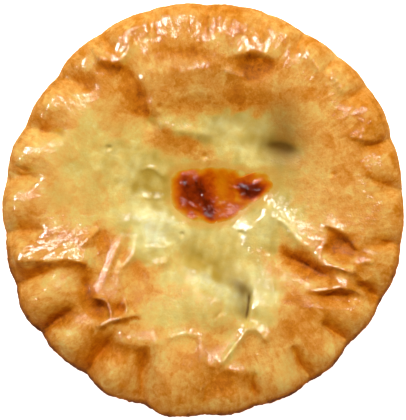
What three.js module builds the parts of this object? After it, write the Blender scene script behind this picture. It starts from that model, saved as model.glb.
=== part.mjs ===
// A single-serve steak and cheese pie, baked whole: a solid double-crust pie with a crimped rim,
// a wrinkled lid that has sunk in the middle, and a vent that melted cheese has filled and browned.
// Millimetres, +Z up, +Y towards the back. The origin is the middle of the foot.

import * as THREE from "three";

const { clamp, degToRad, euclideanModulo, lerp, mapLinear, radToDeg, smoothstep } = THREE.MathUtils;

// Driving dimensions.
const RIM_WIDTH = 120.6; // across the rim's plain oval, along X
const RIM_DEPTH = 124; // across the rim's plain oval, along Y
const EDGE_HEIGHT = 27.5; // the rim's outer edge above the table
const CROWN_HEIGHT = 34.5; // the lid just inside the crimps
const CENTRE_HEIGHT = 26.8; // the lid at its sunken middle
const RIM_THICKNESS = 5.5;
const WALL_TOP_RADIUS = 54;
const WALL_TOP_HEIGHT = EDGE_HEIGHT - RIM_THICKNESS;
const FOOT_RADIUS = 44;
const FOOT_ROUND = 1.6;
const GAP = 0.3; // clear space between the cheese and the pastry under it

// Sizes of the triangles.
const FACET = 1.9; // length of a side on the lid
const WALL_FACET = 3.4; // length of a side on the wall
const WALL_RINGS = 4;
const FEWEST_FACETS = 6; // round the smallest ring
const SPAN_STEPS = 8; // pieces between two points of a fold's line
const PROFILE_STEPS = 96;

// The lid's height from its middle, 0, to the rim's edge, 1, before any crimp or fold.
const LID_PROFILE = [
  [0, CENTRE_HEIGHT],
  [0.2, CENTRE_HEIGHT + 0.4],
  [0.4, CENTRE_HEIGHT + 2.5],
  [0.58, CROWN_HEIGHT - 2.4],
  [0.7, CROWN_HEIGHT - 0.6],
  [0.8, CROWN_HEIGHT],
  [0.9, CROWN_HEIGHT - 0.2],
  [0.95, CROWN_HEIGHT - 1.2],
  [0.975, CROWN_HEIGHT - 2.7],
  [0.99, CROWN_HEIGHT - 4.7],
  [1, EDGE_HEIGHT],
];
const FOLD_END = 0.92; // share of the way out at which folds start to die away towards the rim's edge
const EVEN_END = 0.94; // share of the way out up to which the rings of facets are evenly spaced
const EDGE_SHARES = [0.965, 0.985, 1]; // the closer rings that round off the rim

// The rim's underside: how far each ring lies inside the rim's edge and, in rim thicknesses, below it.
const RIM_NOSE = { inset: 0.5, drop: 0.55 };
const RIM_UNDERSIDE = { inset: 3, drop: 0.88 };

// Stretches of the rim that stand out from its plain oval, or draw in where reach is negative:
// direction and spread in degrees.
const BULGES = [
  { direction: 33, spread: 17, reach: 1.3 },
  { direction: 73, spread: 7, reach: 0.6 },
  { direction: 104, spread: 14, reach: 0.5 },
  { direction: 146, spread: 14, reach: -1.2 },
  { direction: 211, spread: 13, reach: 1.5 },
  { direction: 243, spread: 7, reach: 0.8 },
  { direction: 260, spread: 5, reach: 1 },
  { direction: 292, spread: 8, reach: -0.4 },
  { direction: 318, spread: 9, reach: -0.9 },
  { direction: 345, spread: 8, reach: 0.6 },
];

// The crimps pressed into the rim, in order round it: direction in degrees from +X, reach inwards,
// depth, how narrow the groove is, and the degrees by which it turns aside at its inner end.
const CRIMPS = [
  { direction: 6, reach: 12, depth: 2.8, pinch: 3.5, slant: 0 },
  { direction: 21, reach: 13, depth: 3.4, pinch: 2.4, slant: 0 },
  { direction: 37, reach: 13, depth: 2.4, pinch: 3, slant: 0 },
  { direction: 49, reach: 10, depth: 2.2, pinch: 3, slant: 0 },
  { direction: 60, reach: 11, depth: 2.2, pinch: 3, slant: 0 },
  { direction: 71.5, reach: 13, depth: 2.4, pinch: 3.5, slant: 0 },
  { direction: 89, reach: 13, depth: 2.2, pinch: 4, slant: 0 },
  { direction: 105, reach: 12, depth: 2.2, pinch: 3.5, slant: 0 },
  { direction: 120, reach: 12, depth: 2.8, pinch: 2.6, slant: 0 },
  { direction: 138, reach: 16, depth: 4.2, pinch: 1.8, slant: -7 },
  { direction: 155, reach: 15, depth: 4, pinch: 1.8, slant: -3 },
  { direction: 171, reach: 14, depth: 3.6, pinch: 2, slant: -3 },
  { direction: 186.5, reach: 15, depth: 4.2, pinch: 2.2, slant: 0 },
  { direction: 202, reach: 17, depth: 4.4, pinch: 2.2, slant: 0 },
  { direction: 217, reach: 18, depth: 5.4, pinch: 2.2, slant: 0 },
  { direction: 234.5, reach: 22, depth: 5.6, pinch: 2, slant: 0 },
  { direction: 253, reach: 22, depth: 5.2, pinch: 2, slant: -7 },
  { direction: 270.5, reach: 14, depth: 2.2, pinch: 2.4, slant: 0 },
  { direction: 284.5, reach: 14, depth: 3.4, pinch: 2.4, slant: 0 },
  { direction: 301.5, reach: 14, depth: 3.6, pinch: 2.2, slant: 0 },
  { direction: 317, reach: 15, depth: 3.8, pinch: 2, slant: 0 },
  { direction: 333.5, reach: 14, depth: 3.6, pinch: 2, slant: 0 },
  { direction: 350, reach: 13, depth: 2.8, pinch: 3.5, slant: 0 },
];
const CRIMP_FULL = 0.4; // share of its reach over which a crimp keeps its depth
const CRIMP_NOTCH = 0.14; // how far a crimp draws the outline in, for each millimetre of its depth
const CREASE_ROUND = 0.06; // how round its bottom is, as a share of half the lobe beside it
const EDGE_EASE = 0.3; // share by which the crimps are shallower at the rim's very edge
const EASE_REACH = 4;

// Folds of the lid. Each follows a smooth line and stands up from it, or sinks where height is
// negative, falling away over the width on its left and on its right; crest is how round its top
// is, and taper the share of the line over which each end dies away.
const FOLDS = [
  { name: "valley left of the upper plateau", height: -1.9, left: 1.6, right: 5, crest: 1.2, taper: 0.25,
    line: [[-25, 44], [-22.6, 40.5], [-19, 35], [-17.7, 30], [-15.6, 25.8], [-11.5, 22.6]] },
  { name: "left wall of the upper plateau", height: 0.8, left: 8, right: 1.6, crest: 0.8, taper: 0.3,
    line: [[-21, 43], [-17, 35], [-15.8, 29], [-12.6, 25]] },
  { name: "lower lip of the upper plateau", height: 1.5, left: 2.6, right: 2.6, crest: 0.7, taper: 0.3,
    line: [[-16, 27.2], [-12, 25.2], [-8.2, 23.8], [-1, 23], [5, 21.5]] },
  { name: "upper crease of the plateau", height: -0.8, left: 1.6, right: 2.6, crest: 0.8, taper: 0.3,
    line: [[-17, 46.5], [-8, 46.6], [0, 45.6], [6, 42.9]] },
  { name: "tuck under the upper left crimps", height: 1.3, left: 3, right: 1.6, crest: 0.5, taper: 0.3,
    line: [[-33.5, 46], [-30.5, 44.2], [-27, 43.4], [-24.5, 44.2], [-22, 46.6]] },
  { name: "middle ridge of the back rim", height: 1.6, left: 1, right: 1.4, crest: 0.3, taper: 0.3,
    line: [[20.4, 57.2], [18.9, 54.6], [17.2, 51.5], [16.6, 48]] },
  { name: "right ridge of the back rim", height: 1.2, left: 2.2, right: 1.2, crest: 0.4, taper: 0.3,
    line: [[29.5, 51.5], [30.5, 47], [34.5, 41], [36, 37]] },
  { name: "far right ridge of the back rim", height: 1, left: 1.8, right: 1.2, crest: 0.4, taper: 0.3,
    line: [[38, 44], [39.5, 38], [43, 33]] },
  { name: "brow over the upper right hollow", height: 1.8, left: 4, right: 1, crest: 0.3, taper: 0.3,
    line: [[7, 45], [13, 46.4], [18, 46], [23, 43]] },
  { name: "lower edge of the rough lobe", height: 1.6, left: 3, right: 0.8, crest: 0.3, taper: 0.3,
    line: [[42.5, 22.4], [47, 20.9], [52, 20.7], [56.5, 22.5]] },
  { name: "groove under the rough lobe", height: -1.4, left: 1.6, right: 1.1, crest: 0.4, taper: 0.3,
    line: [[47.5, 9.8], [53, 7.8], [59, 6.2]] },
  { name: "left ledge", height: 3, left: 7, right: 2.2, crest: 0.7, taper: 0.2,
    line: [[-61, -15], [-54, -14.8], [-47, -15], [-40, -14.4], [-34.4, -15.8], [-32, -19.5]] },
  { name: "valley beside the left pillow", height: -2.2, left: 2.2, right: 2.6, crest: 1.2, taper: 0.3,
    line: [[-35.6, -18], [-34.6, -23], [-33.6, -28], [-31, -33]] },
  { name: "outer long wrinkle", height: 1.6, left: 1.2, right: 1.2, crest: 0.5, taper: 0.3,
    line: [[-22.6, -6], [-24.6, -9], [-26.2, -13.1], [-27.6, -16.4], [-28.7, -19.7], [-30.4, -24]] },
  { name: "inner long wrinkle", height: 1.5, left: 1.2, right: 1.2, crest: 0.5, taper: 0.3,
    line: [[-19.8, -5.4], [-20.2, -9], [-20.6, -12.4], [-22.2, -14.9], [-24.6, -17.6], [-24.9, -21],
      [-26, -24]] },
  { name: "short wrinkle", height: 1.4, left: 1, right: 1, crest: 0.4, taper: 0.3,
    line: [[-30, -4.6], [-33.4, -8], [-36.8, -11.4]] },
  { name: "left lip of the vent", height: 1.8, left: 4.4, right: 16, crest: 1.4, taper: 0.3,
    line: [[-30, -9], [-25.5, -5.2], [-19, -3.6], [-11, -4], [-4, -6.6], [3, -9]] },
  { name: "right lip of the vent", height: 1.4, left: 4.4, right: 14, crest: 1.4, taper: 0.3,
    line: [[8, -8.4], [14, -5], [20, -3], [25, -4.5]] },
  { name: "lower left facet", height: 1.8, left: 5, right: 2.2, crest: 0.7, taper: 0.2,
    line: [[-29.6, -33], [-28.4, -35.4], [-25, -37.8], [-19, -39.6], [-13, -38.6], [-9, -37]] },
  { name: "ridge from the facet to the lower peak", height: 1.2, left: 2.6, right: 1.4, crest: 0.4, taper: 0.15,
    line: [[-12, -38.8], [-8.1, -37.2], [-4, -36.8], [-1.2, -38], [-0.4, -41], [0.6, -44], [2.4, -45.9],
      [5.2, -46.9]] },
  { name: "left arm of the lower peak", height: 1.7, left: 1.4, right: 1.8, crest: 0.4, taper: 0.15,
    line: [[14.2, -33.4], [11.1, -38], [8.4, -41.4], [6, -44.6], [4.6, -46.8]] },
  { name: "right arm of the lower peak", height: 1.4, left: 1.8, right: 1.4, crest: 0.4, taper: 0.3,
    line: [[13, -33.6], [16.3, -35.8], [18.2, -37.7], [20.2, -39.6]] },
  { name: "crest of the upper right fold", height: 1.7, left: 4, right: 6, crest: 1, taper: 0.2,
    line: [[13, 1.6], [18, 0], [23, -2.4], [27.4, -7.4], [31.6, -12.2], [33.4, -15.6]] },
  { name: "edge of the right bowl", height: 1.4, left: 2.4, right: 0.7, crest: 0.3, taper: 0.2,
    line: [[34.6, -3.8], [38, -5], [40.8, -6.4], [43, -8.4], [44.9, -10.8], [47, -12.4]] },
  { name: "flap under the right bowl", height: 2.2, left: 3.4, right: 0.9, crest: 0.4, taper: 0.2,
    line: [[33.4, -16.6], [37.2, -16.4], [41.1, -17.5], [45.9, -19]] },
  { name: "valley between the right folds", height: -1.8, left: 1.4, right: 2.6, crest: 0.8, taper: 0.3,
    line: [[21.3, -12.6], [29.1, -15.8], [34.5, -18.8], [41.4, -22]] },
  { name: "lower right fold", height: 1.8, left: 2.4, right: 0.6, crest: 0.3, taper: 0.2,
    line: [[30.6, -23], [33.9, -23.9], [37.2, -23.5], [40.7, -23], [45, -23.9], [51, -26.6]] },
  { name: "groove beside the right folds", height: -1.4, left: 1.2, right: 1.8, crest: 0.5, taper: 0.3,
    line: [[44.4, -20.8], [48, -23], [51.6, -25.4], [54.5, -26.6]] },
  { name: "left crease of the front rim", height: -1.4, left: 2.4, right: 0.5, crest: 0.3, taper: 0.3,
    line: [[26, -41], [29, -46], [32.4, -50.6]] },
  { name: "right crease of the front rim", height: -1.4, left: 2.4, right: 0.5, crest: 0.3, taper: 0.3,
    line: [[35, -33.5], [39, -36.5], [43.6, -39.6]] },
  { name: "slit", height: -2.6, left: 0.5, right: 1.4, crest: 0.2, taper: 0.4,
    line: [[14.2, -21.5], [13.8, -25], [13.3, -29.5], [12.8, -34]] },
  { name: "diagonal valley above the slit", height: -1.5, left: 5, right: 3, crest: 1.6, taper: 0.3,
    line: [[-10, -11], [-3, -14], [4, -18.4], [11, -23]] },
];
const SEAM_REACH = { spacings: 1.2, widths: 0.35 }; // how softly a fold turns from one side to the other
const FOLD_FOOT = 0.35; // how abruptly a fold ends at its foot

// Pillows of the lid and, with a negative height, its hollows: middle, half-sizes, height,
// turn in degrees, and how flat the top is, where 2 is a plain dome.
const MOUNDS = [
  { name: "upper plateau", at: [0, 35], half: [20, 11], height: 1.4, turn: -5, flat: 3 },
  { name: "upper left knob", at: [-25.5, 50.2], half: [4.6, 5], height: 1.2, turn: 0, flat: 2 },
  { name: "small upper left knob", at: [-20.1, 54.8], half: [3.5, 2.5], height: 0.9, turn: 0, flat: 2 },
  { name: "upper right lobe", at: [10, 51.5], half: [6.5, 7], height: 1.2, turn: 0, flat: 2 },
  { name: "left pillow", at: [-45.5, -25], half: [9.5, 7], height: 2, turn: 20, flat: 3 },
  { name: "pillow under the wrinkles", at: [-28, -25], half: [10, 9], height: 2, turn: 0, flat: 2 },
  { name: "lower pillow", at: [-3, -28], half: [14, 7], height: 1.4, turn: -8, flat: 2.5 },
  { name: "shoulder of the lower pillow", at: [4, -29.4], half: [8.6, 6], height: 2.2, turn: -25, flat: 2.5 },
  { name: "pillow right of the slit", at: [20.5, -28], half: [6, 8], height: 1.6, turn: 0, flat: 2.5 },
  { name: "rough lobe", at: [48.5, 27], half: [6.5, 6], height: 1.4, turn: 0, flat: 2.5 },
  { name: "lower left lobe", at: [-41, -38], half: [6, 5], height: 1.4, turn: 30, flat: 3 },
  { name: "second lower left lobe", at: [-27.5, -48.5], half: [5.6, 6], height: 1.4, turn: 0, flat: 3 },
  { name: "front lobe", at: [-9, -48], half: [8, 8.5], height: 1.4, turn: 0, flat: 3 },
  { name: "lower right lobe", at: [21.6, -49.5], half: [8, 6], height: 0.8, turn: 0, flat: 2 },
  { name: "second lower right lobe", at: [36.6, -42], half: [6, 6], height: 0.7, turn: 0, flat: 2 },
  { name: "third lower right lobe", at: [45.6, -33], half: [6, 6], height: 0.7, turn: 0, flat: 2 },
  { name: "right bowl", at: [41, -11.2], half: [5.2, 4.4], height: -2.2, turn: -20, flat: 3 },
  { name: "pocket of the lower right fold", at: [38.8, -26], half: [6, 2.2], height: -2, turn: -3, flat: 2.5 },
  { name: "dip below the right crest", at: [28.4, -15.6], half: [6.5, 3], height: -1.6, turn: -25, flat: 2 },
  { name: "upper right hollow", at: [15.3, 42], half: [6.2, 3.8], height: -1.2, turn: 0, flat: 3 },
  { name: "pocket of the tuck", at: [-27, 42], half: [4.4, 1.8], height: -0.6, turn: 0, flat: 2.5 },
  { name: "gravy hollow", at: [22.2, 18.6], half: [6, 2.6], height: -1.4, turn: -8, flat: 2.5 },
  { name: "dip above the gravy hollow", at: [14, 24], half: [12, 9.5], height: -1.2, turn: -10, flat: 3 },
  { name: "bowl of the vent", at: [6, 4.4], half: [15, 8.6], height: -1.5, turn: 0, flat: 2.5 },
  { name: "left pit of the pinch", at: [-30.2, -29.6], half: [2.2, 2.6], height: -1.8, turn: 0, flat: 2 },
  { name: "right pit of the pinch", at: [-25, -29.6], half: [1.6, 2.2], height: -1.6, turn: 0, flat: 2 },
  { name: "pit beside the wrinkles", at: [-30.6, -7.6], half: [2, 3], height: -1.2, turn: 30, flat: 2 },
  { name: "hollow under the facet", at: [-25, -42.4], half: [6, 2.8], height: -1, turn: -12, flat: 2 },
  { name: "hollow under the lower peak", at: [5.1, -51.3], half: [4.8, 3.2], height: -0.5, turn: 0, flat: 4 },
];

// The opening of the vent, which the cheese fills up to the level of the lid round it.
const VENT = { at: [5.6, 4.4], half: [13, 6.4], height: -2.2, turn: 8, flat: 4 };

// The cheese: its outline as a closed smooth line, how far its face stands above the lid, and the
// lumps that it has bubbled up into.
const CHEESE_OUTLINE = [
  [22.2, 9.6], [21.2, 11.6], [18.6, 12.4], [14.4, 11.4], [10.8, 12.8], [3.6, 13.4], [-4, 13.1],
  [-8.6, 12.2], [-10.4, 9.4], [-10.7, 6], [-10.1, 1.8], [-7.2, -1.8], [-3.7, -3.7], [0.2, -4.6],
  [4.6, -4.5], [8.6, -3.4], [13.8, 0.6], [17.6, 2.6], [20.3, 4.6], [22.2, 7.2],
];
const CHEESE_CENTRE = [5.6, 4.6];
const CHEESE_STAND = 0.7;
const CHEESE_RINGS = 7;
const CHEESE_UNDERSIDE = 0.99; // share of the outline that the underside takes up
const CHEESE_LUMPS = [
  { name: "left lump", at: [-3.8, 6.5], half: [4.4, 4.8], height: 0.6, turn: 0, flat: 2 },
  { name: "right lump", at: [14.5, 6.6], half: [5, 3], height: 0.7, turn: 8, flat: 2 },
  { name: "lower lump", at: [0.9, 2], half: [2.6, 2], height: 0.6, turn: -30, flat: 2 },
];

/** Rises smoothly from 0 at low to 1 at high. */
function smoothStep(low, high, value) {
  return smoothstep(value, low, high);
}

/** A smooth open curve through flat points, as a list of evenly spaced flat points. */
function smoothLine(points, steps) {
  const curve = new THREE.SplineCurve(points.map(([x, y]) => new THREE.Vector2(x, y)));
  return curve.getSpacedPoints(steps);
}

/** Makes a function that gives a fold's lift at a place on the lid. */
function foldLift({ line, height, left, right, crest, taper }) {
  const steps = SPAN_STEPS * (line.length - 1);
  const points = smoothLine(line, steps);
  const spacing = points[0].distanceTo(points[1]);
  const reach = SEAM_REACH.spacings * spacing + SEAM_REACH.widths * Math.min(left, right);
  const tangents = points.map((_, i) => {
    const before = points[Math.max(i - 1, 0)];
    const after = points[Math.min(i + 1, steps)];
    return after.clone().sub(before).normalize();
  });

  return (x, y) => {
    const squared = points.map((p) => (x - p.x) ** 2 + (y - p.y) ** 2);
    const nearest = Math.min(...squared);
    let total = 0;
    let side = 0;
    let along = 0;
    points.forEach((p, i) => {
      const weight = Math.exp((nearest - squared[i]) / reach ** 2);
      total += weight;
      side += weight * (tangents[i].x * (y - p.y) - tangents[i].y * (x - p.x));
      along += weight * (i / steps);
    });
    side /= total;
    along /= total;
    const width = side > 0 ? left : right;
    const away = (Math.hypot(side, crest) - crest) / width;
    const ends = smoothStep(0, taper, along) * smoothStep(0, taper, 1 - along);
    return height * ends * Math.exp(-away * Math.sqrt(1 + FOLD_FOOT * away));
  };
}

/** Makes a function that gives a mound's lift at a place on the lid. */
function moundLift({ at, half, height, turn, flat }) {
  const angle = degToRad(turn);
  return (x, y) => {
    const dx = x - at[0];
    const dy = y - at[1];
    const u = (dx * Math.cos(angle) + dy * Math.sin(angle)) / half[0];
    const v = (dy * Math.cos(angle) - dx * Math.sin(angle)) / half[1];
    return height * Math.exp(-((u * u + v * v) ** (flat / 2)));
  };
}

const LIFTS = [...FOLDS.map(foldLift), ...MOUNDS.map(moundLift)];
const LUMP_LIFTS = CHEESE_LUMPS.map(moundLift);
const PROFILE_LINE = smoothLine(LID_PROFILE, PROFILE_STEPS);
const ventLift = moundLift(VENT);

/** The lift of several folds and mounds together. */
function summed(lifts, x, y) {
  return lifts.reduce((sum, liftAt) => sum + liftAt(x, y), 0);
}

/** The lid's plain height at a share of the way from its middle to the rim's edge. */
function profileHeight(share) {
  const after = PROFILE_LINE.findIndex((p) => p.x > share);
  if (after <= 0) {
    return after < 0 ? EDGE_HEIGHT : CENTRE_HEIGHT;
  }
  const a = PROFILE_LINE[after - 1];
  const b = PROFILE_LINE[after];
  return mapLinear(share, a.x, b.x, a.y, b.y);
}

/** The rim's radius in a direction, before the crimps draw it in. */
function plainRadius(angle) {
  const oval = 1 / Math.hypot(Math.cos(angle) / (RIM_WIDTH / 2), Math.sin(angle) / (RIM_DEPTH / 2));
  return BULGES.reduce((radius, { direction, spread, reach }) => {
    const turn = angle - degToRad(direction);
    const share = Math.atan2(Math.sin(turn), Math.cos(turn)) / degToRad(spread);
    return radius + reach * Math.exp(-(share ** 2));
  }, oval);
}

/** How deep the crimps are at a place, and how far they draw the outline in there. */
function crimpAt(radius, angle) {
  const inwards = plainRadius(angle) - radius;
  const ease = 1 - EDGE_EASE * smoothStep(-EASE_REACH, 0, -inwards);
  const heading = ({ direction, slant, reach }) => direction + slant * clamp(inwards / reach, 0, 1);
  let depth = 0;
  let notch = 0;
  CRIMPS.forEach((crimp, i) => {
    const following = CRIMPS[(i + 1) % CRIMPS.length];
    const first = heading(crimp);
    const lobe = euclideanModulo(heading(following) - first, 360);
    const share = euclideanModulo(radToDeg(angle) - first, 360) / lobe;
    if (share >= 1) {
      return;
    }
    for (const [end, away] of [[crimp, share], [following, 1 - share]]) {
      const near = 1 - Math.hypot(2 * Math.min(away, 0.5), CREASE_ROUND);
      const drop = end.depth * Math.max(near, 0) ** end.pinch;
      depth += drop * ease * (1 - smoothStep(CRIMP_FULL * end.reach, end.reach, inwards));
      notch += CRIMP_NOTCH * drop;
    }
  });
  return { depth, notch };
}

/** The rim's radius in a direction, drawn in at each crimp. */
function rimRadius(angle) {
  const edge = plainRadius(angle);
  return edge - crimpAt(edge, angle).notch;
}

/** The height of the lid's face at a place, with the vent still closed. */
function lidHeight(x, y) {
  const radius = Math.hypot(x, y);
  const angle = Math.atan2(y, x);
  const share = radius / rimRadius(angle);
  const folded = 1 - smoothStep(FOLD_END, 1, share);
  return profileHeight(share) - crimpAt(radius, angle).depth + folded * summed(LIFTS, x, y);
}

/** The height of the pastry's upper face at a place, with the vent open. */
function pastryHeight(x, y) {
  return lidHeight(x, y) + ventLift(x, y);
}

/** A ring of points, one for each of count directions. */
function ring(count, pointAt) {
  return Array.from({ length: count }, (_, i) => pointAt((2 * Math.PI * i) / count));
}

/** How many facets of a length go round a circle. */
function facetsRound(radius, facet) {
  return Math.max(FEWEST_FACETS, Math.round((2 * Math.PI * radius) / facet));
}

/**
 * A closed skin over rings that follow each other from the top's middle point, over the edge, to the
 * bottom's middle point. Neighbouring rings may differ in their count of points.
 */
function closedSkin(top, rings, bottom) {
  const positions = [top, ...rings.flat(), bottom].flatMap((p) => [p.x, p.y, p.z]);
  const starts = [];
  let next = 1;
  for (const each of rings) {
    starts.push(next);
    next += each.length;
  }
  const triangles = [];
  const last = rings.length - 1;
  rings[0].forEach((_, i) => {
    triangles.push(0, starts[0] + i, starts[0] + ((i + 1) % rings[0].length));
  });
  for (let k = 0; k < last; k += 1) {
    const inner = rings[k].length;
    const outer = rings[k + 1].length;
    let i = 0;
    let j = 0;
    while (i < inner || j < outer) {
      const a = starts[k] + (i % inner);
      const b = starts[k + 1] + (j % outer);
      if (j >= outer || (i < inner && (i + 0.5) / inner < (j + 0.5) / outer)) {
        i += 1;
        triangles.push(a, b, starts[k] + (i % inner));
      } else {
        j += 1;
        triangles.push(a, b, starts[k + 1] + (j % outer));
      }
    }
  }
  rings[last].forEach((_, i) => {
    triangles.push(starts[last] + i, next, starts[last] + ((i + 1) % rings[last].length));
  });
  const geometry = new THREE.BufferGeometry();
  geometry.setAttribute("position", new THREE.Float32BufferAttribute(positions, 3));
  geometry.setIndex(triangles);
  geometry.computeVertexNormals();
  return geometry;
}

/** The pastry: lid, crimped rim, tapered wall and flat foot, all one solid. */
function pastryGeometry() {
  const middleRadius = (RIM_WIDTH + RIM_DEPTH) / 4;
  const lidPoint = (share) => (angle) => {
    const radius = share * rimRadius(angle);
    const x = radius * Math.cos(angle);
    const y = radius * Math.sin(angle);
    return new THREE.Vector3(x, y, pastryHeight(x, y));
  };
  const sidePoint = (radius, height) => (angle) =>
    new THREE.Vector3(radius * Math.cos(angle), radius * Math.sin(angle), height);
  const underRim = ({ inset, drop }) => (angle) => {
    const edge = lidPoint(1)(angle);
    return sidePoint(Math.hypot(edge.x, edge.y) - inset, edge.z - drop * RIM_THICKNESS)(angle);
  };

  const rings = [];
  const evenRings = Math.round((EVEN_END * middleRadius) / FACET);
  for (let i = 1; i <= evenRings; i += 1) {
    const share = (EVEN_END * i) / evenRings;
    rings.push(ring(facetsRound(share * middleRadius, FACET), lidPoint(share)));
  }
  const edgeCount = facetsRound(middleRadius, FACET);
  for (const share of EDGE_SHARES) {
    rings.push(ring(edgeCount, lidPoint(share)));
  }
  for (const step of [RIM_NOSE, RIM_UNDERSIDE]) {
    rings.push(ring(edgeCount, underRim(step)));
  }
  const wallCount = facetsRound(WALL_TOP_RADIUS, WALL_FACET);
  for (let i = 0; i <= WALL_RINGS; i += 1) {
    const share = i / WALL_RINGS;
    const radius = lerp(WALL_TOP_RADIUS, FOOT_RADIUS, share);
    const height = lerp(WALL_TOP_HEIGHT, FOOT_ROUND, share);
    rings.push(ring(wallCount, sidePoint(radius, height)));
  }
  rings.push(ring(wallCount, sidePoint(FOOT_RADIUS - FOOT_ROUND, 0)));
  return closedSkin(new THREE.Vector3(0, 0, pastryHeight(0, 0)), rings, new THREE.Vector3(0, 0, 0));
}

/** The cheese: it fills the vent, and its edge laps a little onto the lid. */
function cheeseGeometry() {
  const corners = CHEESE_OUTLINE.map(([x, y]) => new THREE.Vector3(x, y, 0));
  const outline = new THREE.CatmullRomCurve3(corners, true);
  const count = facetsRound(outline.getLength() / (2 * Math.PI), FACET);
  const place = (share, heightAt) => (angle) => {
    const rim = outline.getPointAt((angle / (2 * Math.PI)) % 1);
    const x = lerp(CHEESE_CENTRE[0], rim.x, share);
    const y = lerp(CHEESE_CENTRE[1], rim.y, share);
    return new THREE.Vector3(x, y, heightAt(x, y));
  };
  const face = (x, y) => lidHeight(x, y) + CHEESE_STAND + summed(LUMP_LIFTS, x, y);
  const underside = (x, y) => pastryHeight(x, y) + GAP;
  const ringAt = (share, heightAt) =>
    ring(Math.max(FEWEST_FACETS, Math.round(count * share)), place(share, heightAt));

  const rings = [];
  for (let i = 1; i <= CHEESE_RINGS; i += 1) {
    rings.push(ringAt(i / CHEESE_RINGS, face));
  }
  for (let i = CHEESE_RINGS; i >= 1; i -= 1) {
    rings.push(ringAt((CHEESE_UNDERSIDE * i) / CHEESE_RINGS, underside));
  }
  return closedSkin(place(0, face)(0), rings, place(0, underside)(0));
}

/** A named sub-part with its own finish. */
function subPart(name, geometry, finish) {
  const mesh = new THREE.Mesh(geometry, new THREE.MeshStandardMaterial(finish));
  mesh.name = name;
  return mesh;
}

const pie = new THREE.Group();
pie.name = "steak_and_cheese_pie";
pie.add(
  subPart("pastry_crust", pastryGeometry(), { color: 0xd9a04a, roughness: 0.45, metalness: 0 }),
  subPart("vent_cheese", cheeseGeometry(), { color: 0xb8560c, roughness: 0.25, metalness: 0 }),
);

export default pie;
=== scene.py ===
"""Steak and cheese pie: its baked pastry, the cheese in its vent, and a plain studio round them.

Sizes and places are real ones in millimetres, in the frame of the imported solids: +Z up, +Y towards the
back, the origin at the middle of the foot. They become metres where a mesh is made.
"""

from __future__ import annotations

import logging
import math
from dataclasses import dataclass, field
from enum import Enum
from typing import Any

import bpy
import numpy as np
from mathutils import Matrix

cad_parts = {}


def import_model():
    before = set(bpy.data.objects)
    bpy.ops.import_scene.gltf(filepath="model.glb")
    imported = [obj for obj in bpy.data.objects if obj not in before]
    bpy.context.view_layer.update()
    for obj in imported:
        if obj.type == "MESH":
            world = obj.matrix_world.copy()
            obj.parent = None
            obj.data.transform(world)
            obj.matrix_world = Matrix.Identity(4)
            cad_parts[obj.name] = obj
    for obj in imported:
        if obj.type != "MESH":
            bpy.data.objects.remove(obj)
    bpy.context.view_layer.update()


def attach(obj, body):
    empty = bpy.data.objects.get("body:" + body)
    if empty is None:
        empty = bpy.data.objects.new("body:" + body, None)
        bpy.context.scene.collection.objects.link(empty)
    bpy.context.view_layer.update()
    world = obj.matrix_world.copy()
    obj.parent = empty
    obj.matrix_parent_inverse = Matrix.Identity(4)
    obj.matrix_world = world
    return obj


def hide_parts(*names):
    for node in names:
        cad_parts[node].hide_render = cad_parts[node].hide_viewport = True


MM = 0.001
LOG = logging.getLogger("pie")

Array = np.ndarray
Point = tuple[float, float]
Span = tuple[float, float]
Face = tuple[int, ...]
Tree = bpy.types.NodeTree
Feed = bpy.types.Node | bpy.types.NodeSocket


class Doneness(Enum):
    """How far pastry has browned, as a place on the pastry's colour ramp."""

    DOUGH = 0.04
    CREAM = 0.16
    STRAW = 0.33
    GOLD = 0.46
    HONEY = 0.55
    AMBER = 0.64
    CHESTNUT = 0.77
    DARK = 0.9


class Layer(Enum):
    """A thing that varies over a piece, kept as an attribute of its mesh."""

    # Browning, with painted shade and light added to it.
    BROWNING_AND_SHADE = "browning_and_shade"
    CRISP = "crisp"
    PULLED = "pulled"
    BLISTERED = "blistered"
    UNEVEN = "uneven"
    # Painted bounce light and shade: an orange glow in hollows and on slopes that face the front.
    SHADE_GLOW = "shade_glow"
    # Fat stains and seep, and painted shade in fat colour on pale slopes that face the front and along a
    # valley.
    OIL_AND_SHADE = "oil_and_shade"
    # Dark filling showing in the hollow at the upper right, and painted shade in and beside the slit, above
    # that hollow and over the plateau.
    GRAVY_AND_SHADE = "gravy_and_shade"
    GLOSS = "gloss"
    EDGE = "edge"
    WRINKLED = "wrinkled"
    GRAIN = "grain"
    FLAKE = "flake"
    CHAR = "char"


class Pattern(Enum):
    """How a grain's heights are drawn from its noise."""

    SOFT = "soft"
    PUFFED = "puffed"
    RIDGED = "ridged"
    FLAKED = "flaked"


def linear(hex_colour: str) -> tuple[float, float, float, float]:
    """Turns an sRGB hex colour into linear light.

    Args:
        hex_colour: Six hex digits after a hash mark.

    Returns:
        Red, green, blue and an alpha of 1.
    """
    parts = [int(hex_colour[i : i + 2], 16) / 255 for i in (1, 3, 5)]
    red, green, blue = (p / 12.92 if p <= 0.04045 else ((p + 0.055) / 1.055) ** 2.4 for p in parts)
    return red, green, blue, 1.0


def smooth_step(low: float | Array, high: float | Array, value: Array) -> Array:
    """Rises smoothly from 0 at low to 1 at high."""
    share = np.clip((value - low) / (high - low), 0, 1)
    return share * share * (3 - 2 * share)


def polar(radius: float, degrees: float) -> Point:
    """The place at a distance from the middle of the pie.

    Args:
        radius: The distance.
        degrees: The direction, as an angle from +X.

    Returns:
        The place.
    """
    angle = math.radians(degrees)
    return radius * math.cos(angle), radius * math.sin(angle)


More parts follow.
